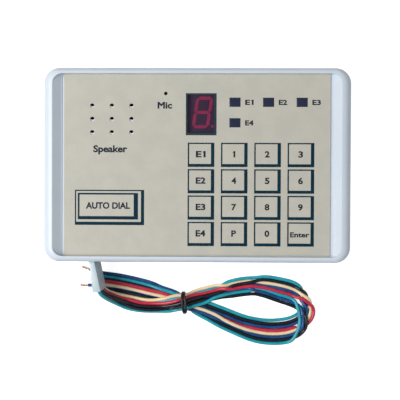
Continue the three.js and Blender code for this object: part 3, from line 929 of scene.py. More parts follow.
# ------------------------------------------------------------------ casing
@dataclass
class Casing:
    """Two-part moulded casing with its screws."""

    shop: Workshop
    corner: float = 6.8
    wall: float = 2.2
    shoulder: float = 4.15
    shoulder_steps: int = 9
    long_share: float = 0.52
    corner_steps: int = 12
    tray_depth: float = 3.0
    tray_slope: float = 3.5
    tray_corner: float = 4.6
    rim: float = 2.6
    crest: float = 126.6
    seat_length: float = 119.2
    seat_depth: float = 0.5
    face: float = 2.2
    crest_round: float = 0.45
    foot_round: float = 0.9
    screw_hole: float = 3.5
    screw_seat: float = 6.0
    screw_seat_depth: float = 2.7
    boss: float = 6.5
    keyhole_span: float = 70.0
    keyhole_y: float = 8.0
    keyhole_head: float = 8.0
    keyhole_slot: float = 4.4
    keyhole_rise: float = 9.0
    pad_height: float = 0.8
    pad_margin: float = 2.6
    shank: float = 1.45
    head_depth: float = 2.2
    thread_start: float = 1.6
    thread_end: float = 1.8
    thread_pitch: float = 1.1
    thread_crest: float = 0.45
    thread_depth: float = 0.35
    slot_width: float = 0.8
    slot_depth: float = 2.4

    def __post_init__(self) -> None:
        """Read the casing's outer sizes from the CAD."""
        self.front = Extent.of("front_cover")
        self.rear = Extent.of("rear_cover")
        self.top = self.front.high.z
        self.floor = self.top - self.tray_depth
        self.ceiling = self.floor - self.face
        screws = [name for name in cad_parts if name.startswith("case_screw_")]
        self.screws = {name: Extent.of(name) for name in sorted(screws)}

    def build(self) -> None:
        """Make the two shells and the screws."""
        self.front_shell()
        self.rear_shell()
        for name, extent in self.screws.items():
            self.screw(name, extent)

    def blank(self) -> bmesh.types.BMesh:
        """Outer form of the front shell: a broad rolled shoulder at the ends, a tighter one between.

        Returns:
            The solid.
        """
        size = self.front.size
        shape = slab(size.x, size.y, self.front.low.z, self.top, corner=self.corner,
                     steps=self.corner_steps)
        bevel(shape, edges_at(shape, self.top), self.shoulder, self.shoulder_steps)
        start = size.y / 2 - self.corner
        foot = self.top - self.shoulder
        for vertex in shape.verts:
            rise = vertex.co.z - foot
            if rise > 0 and abs(vertex.co.y) > start:
                inset = self.shoulder - math.sqrt(max(0.0, self.shoulder ** 2 - rise ** 2))
                grow = 1 + inset * (1 - self.long_share) / (self.corner - inset)
                vertex.co.y = math.copysign(start + (abs(vertex.co.y) - start) * grow, vertex.co.y)
        return shape

    def tray(self) -> bmesh.types.BMesh:
        """Cutter for the face recess: upright long walls, sloping ends, rounded corners.

        Returns:
            The cutter.
        """
        width = self.front.size.y - 2 * self.rim
        above = self.top + 1
        shape = slab(self.crest, width, self.floor, above)
        reach = self.tray_slope / self.tray_depth
        floor_half = self.crest / 2 - self.tray_slope
        for vertex in shape.verts:
            rise = vertex.co.z - self.floor
            vertex.co.x = math.copysign(floor_half + reach * rise, vertex.co.x)
        mouth = slab(self.crest, width, self.floor - 1, above + 1, corner=self.tray_corner, steps=10)
        return combined(shape, [mouth], Join.KEEP)

    def slot(self) -> bmesh.types.BMesh:
        """Cutter for the plug's opening in the long lower side.

        Returns:
            The cutter.
        """
        plug = Extent.of("harness_plug")
        return block((plug.size.x * 0.92, 3 * self.wall, plug.size.z + 1.1),
                     (plug.low.x + plug.size.x * 0.42, self.front.low.y, plug.centre.z))

    def front_shell(self) -> None:
        """Make the front shell with its tray, holes and screw bosses."""
        size = self.front.size
        cavity = slab(size.x - 2 * self.wall, size.y - 2 * self.wall, self.front.low.z - 1,
                      self.ceiling, corner=self.corner - self.wall, steps=self.corner_steps)
        seat = slab(self.seat_length, size.y - 2 * self.rim, self.floor - self.seat_depth,
                    self.floor + 1, corner=0.5, steps=2)
        holes = Openings(self).cutters(self.ceiling - 1, self.floor + 1)
        shape = combined(self.blank(), [cavity, self.tray(), seat, *holes, self.slot()])
        level = self.floor + 0.4
        crest = sharp_edges(shape, 24, lambda middle: middle.z > level)
        bevel(shape, crest, self.crest_round, 3)
        bosses = [rod(self.boss, self.front.low.z, self.ceiling + 0.5, *extent.centre.xy)
                  for extent in self.screws.values()]
        pilots = [rod(self.screw_hole - 0.4, self.front.low.z - 1, self.front.low.z + 9,
                      *extent.centre.xy) for extent in self.screws.values()]
        shape = combined(combined(shape, [gathered(bosses)], Join.WELD), [gathered(pilots)])
        self.shop.piece("front_shell", shape, self.shop.finishes.case, "case_white",
                        stands_for=["front_cover"], even=True)

    def rear_shell(self) -> None:
        """Make the rear shell with keyholes, screw seats and a softened foot."""
        size = self.rear.size
        top = self.rear.high.z
        shape = slab(size.x, size.y, 0, top, corner=self.corner, steps=self.corner_steps)
        bevel(shape, edges_at(shape, 0), self.foot_round, 4)
        cavity = slab(size.x - 2 * self.wall, size.y - 2 * self.wall, self.wall, top + 1,
                      corner=self.corner - self.wall, steps=self.corner_steps)
        pads, keyholes = [], []
        deck = self.wall + self.pad_height
        rise = self.keyhole_rise
        for x in (-self.keyhole_span / 2, self.keyhole_span / 2):
            pads.append(slab(self.keyhole_head + 2 * self.pad_margin,
                             rise + self.keyhole_head / 2 + 2 * self.pad_margin, self.wall / 2,
                             deck, x, self.keyhole_y + (rise - self.keyhole_head / 2) / 2, 1.2, 3))
            head = rod(self.keyhole_head, -1, deck + 1, x, self.keyhole_y, 48)
            track = slab(self.keyhole_slot, rise, -1, deck + 1, x, self.keyhole_y + rise / 2,
                         self.keyhole_slot / 2 - 0.02, 8)
            keyholes.append(combined(head, [track], Join.WELD))
        places = [extent.centre.xy for extent in self.screws.values()]
        bosses = [rod(self.screw_seat + 2.8, self.wall / 2, top, *place) for place in places]
        seats = [rod(self.screw_seat, -1, self.screw_seat_depth, *place) for place in places]
        bores = [rod(self.screw_hole, -1, top + 1, *place) for place in places]
        shape = combined(shape, [cavity])
        shape = combined(shape, [gathered(pads), gathered(bosses)], Join.WELD)
        shape = combined(shape, [gathered(keyholes), gathered(seats), gathered(bores), self.slot()])
        rims = sharp_edges(shape, 60, lambda middle: abs(middle.z) < 1e-3)
        bevel(shape, rims, 0.25, 2)
        self.shop.piece("rear_shell", shape, self.shop.finishes.case, "case_white",
                        stands_for=["rear_cover"], even=True)

    def screw(self, name: str, extent: Extent) -> None:
        """Make one case screw with a domed slotted head and a coarse thread.

        Args:
            name: The CAD node it stands for.
            extent: That node's box.
        """
        x, y, _ = extent.centre
        head, shank = extent.size.x / 2, self.shank
        root = shank - self.thread_depth
        low, high = extent.low.z, extent.high.z
        seat = low + self.head_depth
        thread = []
        height = seat + self.thread_start
        while height < high - self.thread_end:
            thread += [(root, height), (shank, height + self.thread_crest),
                       (root, height + 2 * self.thread_crest)]
            height += self.thread_pitch
        profile = [(0, low), (head * 0.6, low + 0.02), (head * 0.88, low + 0.22),
                   (head, low + 0.62), (head, seat), (shank, seat), (shank - 0.1, seat + 1.3),
                   *thread, (shank - 0.5, high - 0.7), (0, high)]
        shape = turned(profile, x, y, 36)
        slot = block((2 * extent.size.x, self.slot_width, self.slot_depth), (x, y, low))
        bmesh.ops.rotate(slot, verts=slot.verts, cent=(x, y, 0),
                         matrix=Matrix.Rotation(math.radians(3.1 * x + 17), 3, "Z"))
        shape = combined(shape, [slot])
        self.shop.piece(f"{name}_slotted", shape, self.shop.finishes.steel, "screw_steel",
                        stands_for=[name])


class Openings:
    """Places of the openings that shell and overlay share, read from the CAD."""

    speaker_centre = (-37.45, 20.2)
    speaker_pitch = (8.65, 5.85)
    speaker_hole = 2.0
    shell_rise = 0.7
    mic_hole = 1.6
    window_ledge = 0.6
    clearance = 0.1

    def __init__(self, casing: Casing) -> None:
        """Read the window, the lamps and the microphone from the CAD nodes.

        Args:
            casing: The casing that the openings are cut in.
        """
        self.casing = casing
        self.window = Extent.of("display_filter")
        lamps = sorted(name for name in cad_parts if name.startswith("lamp_"))
        self.lamps = {name: Extent.of(name) for name in lamps}
        self.mic = Extent.of("microphone").centre

    def sound(self, bottom: float, top: float, rise: float = 0.0) -> bmesh.types.BMesh:
        """Round holes over the loudspeaker and the microphone.

        Args:
            bottom: Lower height of the cutter.
            top: Upper height of the cutter.
            rise: How far the loudspeaker's holes sit above their places in the film.

        Returns:
            The cutter.
        """
        x, y = self.speaker_centre
        step_x, step_y = self.speaker_pitch
        holes = [rod(self.speaker_hole, bottom, top, x + column * step_x, y + row * step_y + rise, 28)
                 for column in (-1, 0, 1) for row in (-1, 0, 1)]
        return gathered([*holes, rod(self.mic_hole, bottom, top, self.mic.x, self.mic.y, 28)])

    def lamp_windows(self, bottom: float, top: float) -> bmesh.types.BMesh:
        """Rectangular holes for the lamps.

        Args:
            bottom: Lower height of the cutter.
            top: Upper height of the cutter.

        Returns:
            The cutter.
        """
        return gathered(slab(4.9, 4.05, bottom, top, *extent.centre.xy)
                        for extent in self.lamps.values())

    def cutters(self, bottom: float, top: float) -> list[bmesh.types.BMesh]:
        """Cutters for the shell's face.

        Args:
            bottom: Lower height of the cutters.
            top: Upper height of the cutters.

        Returns:
            The cutters.
        """
        size, centre = self.window.size, self.window.centre
        pane = slab(size.x + self.clearance - 2 * self.window_ledge,
                    size.y + self.clearance - 2 * self.window_ledge, bottom, top, *centre.xy)
        keys = [Extent.of(name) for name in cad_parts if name.startswith("key_")]
        deep = self.casing.floor - 0.95
        wells = gathered(slab(key.size.x + 0.24, key.size.y + 0.24, deep, top, *key.centre.xy)
                         for key in keys)
        plungers = gathered(rod(3.7, bottom, top, *key.centre.xy, 20) for key in keys)
        return [pane, self.lamp_windows(bottom, top), self.sound(bottom, top, self.shell_rise), wells,
                plungers]


# ------------------------------------------------------------------ overlay and its print
class Align(Enum):
    """Which part of a word its place means."""

    CENTRE = "centre"
    LEFT = "left"


@dataclass(frozen=True)
class Word:
    """A printed word."""

    text: str
    x: float
    y: float
    cap: float
    align: Align = Align.CENTRE
    width: float = 0.0


@dataclass(frozen=True)
class Border:
    """A printed frame, heavier on its right and lower sides."""

    left: float
    right: float
    bottom: float
    top: float
    fine: float
    right_bar: float
    bottom_bar: float


@dataclass
class Overlay:
    """Film over the face with its printing, and the print on each key."""

    shop: Workshop
    openings: Openings
    ink: float = 0.03
    stroke: float = 0.036
    film_reach: tuple[float, float] = (0.1, -0.3)
    legend_cap: float = 2.65
    legend_widths: tuple[float, float, float] = (1.15, 2.1, 4.3)
    enter_cap: float = 2.15
    legend_rise: float = 0.35
    key_fine: float = 0.62
    key_right: float = 1.5
    key_bottom: float = 1.35
    lamp_word_gap: float = 2.1
    flag_reach: float = 0.17
    flag_drop: float = 0.2
    badge_outer: Border = Border(-53.7, -23.1, -26.45, -10.95, 0.55, 1.4, 1.4)
    badge_inner: Border = Border(-52.4, -25.8, -24.0, -12.3, 0.75, 1.9, 1.45)

    def __post_init__(self) -> None:
        """Read the film's level and measure the letters."""
        self.film = Extent.of("overlay_film")
        self.level = self.film.high.z
        self.unit_cap = max(vertex.co.y for vertex in self.letters("E").verts)

    def letters(self, text: str) -> bmesh.types.BMesh:
        """Raised letters at unit size.

        Args:
            text: What they say.

        Returns:
            The letters, starting at the origin.
        """
        curve = bpy.data.curves.new("letters", "FONT")
        curve.body = text
        curve.resolution_u = 4
        curve.bevel_depth = self.stroke
        curve.bevel_resolution = 0
        curve.extrude = self.stroke / 8
        holder = bpy.data.objects.new("letters", curve)
        mesh = bpy.data.meshes.new_from_object(holder)
        shape = bmesh.new()
        shape.from_mesh(mesh)
        bmesh.ops.remove_doubles(shape, verts=shape.verts, dist=1e-5)
        bpy.data.objects.remove(holder)
        bpy.data.curves.remove(curve)
        bpy.data.meshes.remove(mesh)
        return shape

    def flag(self, figure: bmesh.types.BMesh) -> bmesh.types.BMesh:
        """Small flag for a figure one that ends a word.

        Args:
            figure: The word's letters at unit size.

        Returns:
            The flag, at the top left of the last upright.
        """
        right = max(vertex.co.x for vertex in figure.verts)
        top = max(vertex.co.y for vertex in figure.verts)
        depth = max(vertex.co.z for vertex in figure.verts)
        upright = self.flag_reach * 0.5
        outline = [(right - upright, top), (right - upright, top - self.flag_drop * 0.5),
                   (right - upright - self.flag_reach, top - self.flag_drop),
                   (right - upright - self.flag_reach, top - self.flag_drop * 0.6)]
        return prism(outline, -depth, depth)

    def word(self, word: Word) -> bmesh.types.BMesh:
        """A word in ink on the film.

        Args:
            word: The word and its place.

        Returns:
            The shape.
        """
        shape = self.letters(word.text)
        if word.text.endswith("1"):
            shape = gathered([shape, self.flag(shape)])
        low = min(vertex.co.x for vertex in shape.verts)
        high = max(vertex.co.x for vertex in shape.verts)
        scale = word.cap / self.unit_cap
        across = word.width / (high - low) if word.width else scale
        anchor = low if word.align is Align.LEFT else (low + high) / 2
        depth = max(vertex.co.z for vertex in shape.verts)
        bmesh.ops.translate(shape, verts=shape.verts, vec=(-anchor, 0, depth))
        bmesh.ops.scale(shape, vec=(across, scale, self.ink / (2 * depth)), verts=shape.verts)
        bmesh.ops.translate(shape, verts=shape.verts,
                            vec=(word.x, word.y - word.cap / 2, self.level))
        return shape

    def border(self, border: Border) -> bmesh.types.BMesh:
        """A printed frame on the film.

        Args:
            border: Its outer edges and line widths.

        Returns:
            The shape.
        """
        middle = Vector(((border.left + border.right) / 2, (border.bottom + border.top) / 2,
                         self.level))
        shape = bmesh.new()
        half = Matrix.Diagonal(((border.right - border.left) / 2, (border.top - border.bottom) / 2,
                                1, 1))
        bmesh.ops.create_grid(shape, x_segments=1, y_segments=1, size=1,
                              matrix=Matrix.Translation(middle) @ half)
        inner = shape.faces[:]
        bmesh.ops.inset_region(shape, faces=inner, thickness=border.fine, use_boundary=True,
                               use_even_offset=True)
        for vertex in inner[0].verts:
            vertex.co.x = (border.right - border.right_bar if vertex.co.x > middle.x
                           else border.left + border.fine)
            vertex.co.y = (border.top - border.fine if vertex.co.y > middle.y
                           else border.bottom + border.bottom_bar)
        bmesh.ops.delete(shape, geom=inner, context="FACES_ONLY")
        grown = bmesh.ops.extrude_face_region(shape, geom=shape.faces[:])["geom"]
        raised = [item for item in grown if isinstance(item, bmesh.types.BMVert)]
        bmesh.ops.translate(shape, verts=raised, vec=(0, 0, self.ink))
        bmesh.ops.recalc_face_normals(shape, faces=shape.faces)
        return shape

    def build(self) -> None:
        """Make the film, its printing and the print on each key."""
        self.sheet()
        self.face_print()
        for name in sorted(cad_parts):
            if name.startswith("key_"):
                self.key_print(name.removeprefix("key_"), Extent.of(name))

    def sheet(self) -> None:
        """Make the film with its windows and fine round holes."""
        size = self.film.size
        bottom, top = self.film.low.z, self.film.high.z
        shape = slab(size.x + self.film_reach[0], size.y + self.film_reach[1], bottom, top, corner=0.6,
                     steps=3)
        keys = [Extent.of(name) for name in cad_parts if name.startswith("key_")]
        key_holes = gathered(slab(key.size.x + 0.24, key.size.y + 0.24, bottom - 1, top + 1,
                                  *key.centre.xy) for key in keys)
        pane = self.openings.window
        window = slab(pane.size.x + 0.1, pane.size.y + 0.1, bottom - 1, top + 1, *pane.centre.xy)
        lamps = self.openings.lamp_windows(bottom - 1, top + 1)
        shape = combined(shape, [key_holes, gathered([window, lamps]),
                                 self.openings.sound(bottom - 1, top + 1)])
        self.shop.piece("overlay_sheet", shape, self.shop.finishes.film, "overlay_beige",
                        stands_for=["overlay_film"])

    def face_print(self) -> None:
        """Make the printing that isn't on a key."""
        words = [Word("Mic", -14.1, 26.4, 2.85, width=6.4),
                 Word("Speaker", -38.1, 7.2, 2.95, width=15.0)]
        for name, extent in self.openings.lamps.items():
            label = name.removeprefix("lamp_").upper()
            words.append(Word(label, extent.centre.x + 2.35 + self.lamp_word_gap, extent.centre.y,
                              2.15, Align.LEFT, 3.7))
        shape = gathered(self.word(word) for word in words)
        self.shop.piece("face_words", shape, self.shop.finishes.grey_ink, "print_grey")
        shape = gathered([self.border(self.badge_outer), self.border(self.badge_inner)])
        self.shop.piece("badge_border", shape, self.shop.finishes.teal_ink, "print_teal")
        badge = self.word(Word("AUTO DIAL", -39.1, -17.8, 2.75, width=19.5))
        self.shop.piece("badge_words", badge, self.shop.finishes.grey_ink, "print_grey")

    def key_print(self, name: str, key: Extent) -> None:
        """Make one key's frame and legend, and dress the key.

        Args:
            name: The key's short name.
            key: The key node's box.
        """
        body = f"key_{name}"
        x, y = key.centre.xy
        edge = Border(key.low.x, key.high.x, key.low.y, key.high.y, self.key_fine - 0.12,
                      self.key_right - 0.12, self.key_bottom - 0.12)
        self.shop.piece(f"key_frame_{name}", self.border(edge), self.shop.finishes.teal_ink,
                        "print_teal", body)
        text = name.capitalize()
        if name == "enter":
            word = Word(text, x - 0.35, y - 0.1, self.enter_cap, width=8.5)
        else:
            width = self.legend_widths[len(text) if text != "1" else 0]
            word = Word(text, x - 0.15, y + self.legend_rise, self.legend_cap, width=width)
        legend = self.word(word)
        self.shop.piece(f"legend_{name}", legend, self.shop.finishes.grey_ink, "print_grey", body)
        self.shop.dress(body, self.shop.finishes.film)


# ------------------------------------------------------------------ display and lamps
@dataclass
class Display:
    """Tinted window over a one-digit seven-bar module."""

    shop: Workshop
    digit_x: float = 2.4
    digit_y: float = 23.35
    digit_height: float = 14.0
    digit_width: float = 7.6
    bar: float = 1.4
    gap: float = 0.12
    slant: float = 0.157
    point: tuple[float, float, float] = (6.75, 17.2, 1.3)
    border_line: float = 0.5
    border_heavy: float = 0.95
    border_edge: float = 0.1

    def build(self) -> None:
        """Make the module, its bars and the window."""
        module = Extent.of("display_module")
        size, centre = module.size, module.centre
        body = slab(size.x, size.y, module.low.z, module.high.z, *centre.xy)
        bevel(body, edges_at(body, module.high.z), 0.3, 3)
        self.shop.piece("digit_module", body, self.shop.finishes.digit_face, "display_red",
                        stands_for=["display_module"])
        bars = [self.segment(x, y, length, turned) for x, y, length, turned in self.segments()]
        x, y, diameter = self.point
        level = module.high.z
        dot = rod(diameter, level - 0.1, level + 0.05, x, y, 24)
        self.shop.piece("digit_bars", gathered([*bars, dot]), self.shop.finishes.segment,
                        "display_red")
        pane = Extent.of("display_filter")
        shape = slab(pane.size.x, pane.size.y, pane.low.z, pane.high.z, *pane.centre.xy)
        bevel(shape, edges_at(shape, pane.high.z), 0.08, 2)
        self.shop.piece("window_pane", shape, self.shop.finishes.filter, "display_filter",
                        stands_for=["display_filter"])
        fine, heavy, edge = self.border_line, self.border_heavy, self.border_edge
        outer = slab(pane.size.x - 2 * edge, pane.size.y - 2 * edge, pane.high.z - 0.03,
                     pane.high.z + 0.02, *pane.centre.xy)
        inner = slab(pane.size.x - 2 * edge - fine - heavy, pane.size.y - 2 * edge - fine - heavy,
                     pane.high.z - 1, pane.high.z + 1, pane.centre.x + (fine - heavy) / 2,
                     pane.centre.y + (heavy - fine) / 2)
        self.shop.piece("window_border", combined(outer, [inner]), self.shop.finishes.filter_edge,
                        "display_filter")

    def segments(self) -> list[tuple[float, float, float, bool]]:
        """Middle, length and direction of the seven bars, before the slant.

        Returns:
            One row for each bar: x, y, length, and whether it runs up the digit.
        """
        across = self.digit_width - self.bar
        up = (self.digit_height - self.bar) / 2
        rows = [(0, step * up, across, False) for step in (-1, 0, 1)]
        rows += [(side * across / 2, step * up / 2, up, True) for side in (-1, 1) for step in (-1, 1)]
        return rows

    def segment(self, x: float, y: float, length: float, upright: bool) -> bmesh.types.BMesh:
        """One bar with pointed ends, leaning with the digit.

        Args:
            x: Middle across the digit, from its centre.
            y: Middle up the digit, from its centre.
            length: Distance between the tips.
            upright: Whether it runs up the digit.

        Returns:
            The bar.
        """
        level = Extent.of("display_module").high.z
        tip, half = length / 2 - self.gap, self.bar / 2
        outline = [(-tip, 0), (-tip + half, -half), (tip - half, -half), (tip, 0),
                   (tip - half, half), (-tip + half, half)]
        if upright:
            outline = [(-b, a) for a, b in outline]
        leaning = [(self.digit_x + x + a + self.slant * (y + b), self.digit_y + y + b)
                   for a, b in outline]
        return prism(leaning, level - 0.1, level + 0.05)


@dataclass
class Lamps:
    """Four rectangular indicator lamps, flush with the film."""

    shop: Workshop
    openings: Openings
    crown: float = 0.12
    flange: float = 0.8

    def build(self) -> None:
        """Make each lamp's lens and body."""
        for name, extent in self.openings.lamps.items():
            x, y = extent.centre.xy
            length, width = extent.size.x - 2 * self.flange, extent.size.y - 2 * self.flange
            top = extent.high.z
            lens = slab(length, width, extent.low.z, top, x, y, 0.25, 3)
            bevel(lens, edges_at(lens, top), self.crown, 3)
            foot = slab(extent.size.x, extent.size.y, extent.low.z, extent.low.z + self.flange,
                        x, y, 0.3, 3)
            shape = combined(lens, [foot], Join.WELD)
            self.shop.piece(f"{name}_lens", shape, self.shop.finishes.lamp, "lamp_window",
                            stands_for=[name])


# ------------------------------------------------------------------ harness
class Pass(Enum):
    """Stretches of the hank, in order along a wire."""

    IN = 0
    UPPER = 1
    LOWER = 2
    OUT = 3


@dataclass(frozen=True)
class Wire:
    """One wire of the harness and where it lies in the hank.

    Lanes count across the bundle, from 0 to 7, where the wire comes in, leaves the tie, meets the
    bend, leaves the bend and goes out. Layers count up the pile, from 0, at the same places and
    in the middle of the bend.
    """

    name: str
    slot: str
    tone: Colour
    shade: Colour
    way: int
    lanes: tuple[float, float, float, float, float]
    layers: tuple[float, float, float, float, float, float]
    reach: float
    end: float = -44.6
    fan: float = 0.12


@dataclass
class Plug:
    """Eight-way crimp housing at the end of the harness."""

    shop: Workshop
    x: float = -46.7
    yaw: float = math.radians(11.6)
    thickness: float = 2.6
    roll: float = math.radians(2.2)
    length: float = 15.0
    rib: float = 0.95
    height: float = 16.4
    entry: float = 1.0
    ways: int = 8
    pitch: float = 2.0
    hole: float = 1.75
    hole_depth: float = 4.0
    window: tuple[float, float, float] = (1.0, 2.2, 1.0)
    window_depth: float = 0.3
    window_place: float = 0.42
    groove: tuple[float, float] = (0.3, 0.22)
    crimp: tuple[float, float, float] = (0.9, 4.2, 0.8)
    crimp_offset: float = 0.2
    crimp_place: float = 0.45

    def __post_init__(self) -> None:
        """Set the housing's place from the CAD casing."""
        centre = Extent.of("harness_plug").centre
        self.seat = (Matrix.Translation((self.x, Extent.of("front_cover").low.y + self.entry,
                                         centre.z))
                     @ Matrix.Rotation(self.yaw, 4, "Z") @ Matrix.Rotation(-self.roll, 4, "Y"))

    def way_height(self, way: int) -> float:
        """Height of a way above the housing's middle."""
        return ((self.ways - 1) / 2 - way) * self.pitch

    def mouth(self, way: int, along: float) -> Vector:
        """Point on a way's axis, at a distance past the wire end of the housing."""
        return self.seat @ Vector((0, -self.length - along, self.way_height(way)))

    def build(self) -> bpy.types.Object:
        """Make the housing and its crimps.

        Returns:
            The housing.
        """
        shape = block((self.thickness, self.length, self.height), (0, -self.length / 2, 0))
        bevel(shape, shape.edges[:], 0.22, 2)
        side = self.thickness / 2
        rib = prism([(0.2 - side, -1.5), (-side - self.rib, 0.4 - self.length),
                     (-side - self.rib, 0.2 - self.length), (0.2 - side, 0.2 - self.length)],
                    0.3 - self.height / 2, self.height / 2 - 0.3)
        shape = combined(shape, [rib], Join.WELD)
        holes, windows, grooves = [], [], []
        for way in range(self.ways):
            z = self.way_height(way)
            hole = rod(self.hole, -self.hole_depth, self.hole_depth, 0, 0, 20)
            bmesh.ops.rotate(hole, verts=hole.verts, matrix=Matrix.Rotation(HALF_TURN / 2, 3, "X"))
            bmesh.ops.translate(hole, verts=hole.verts, vec=(0, -self.length, z))
            holes.append(hole)
            windows.append(block(self.window, (-side - self.window_depth,
                                               -self.length * self.window_place, z)))
            if way:
                split = z + self.pitch / 2
                deep, wide = self.groove
                grooves.append(block((deep, self.length * 2, wide), (side, -self.length / 2, split)))
        shape = combined(shape, [gathered(holes), gathered(windows), gathered(grooves)])
        bmesh.ops.transform(shape, matrix=self.seat, verts=shape.verts)
        housing = self.shop.piece("plug_housing", shape, self.shop.finishes.nylon, "plug_nylon",
                                  stands_for=["harness_plug"], crease=40)
        crimps = gathered(block(self.crimp, (self.crimp_offset, -self.length * self.crimp_place,
                                             self.way_height(way)))
                          for way in range(self.ways))
        bevel(crimps, crimps.edges[:], 0.12, 2)
        bmesh.ops.transform(crimps, matrix=self.seat, verts=crimps.verts)
        self.shop.piece("plug_crimps", crimps, self.shop.finishes.crimp, "screw_steel")
        return housing


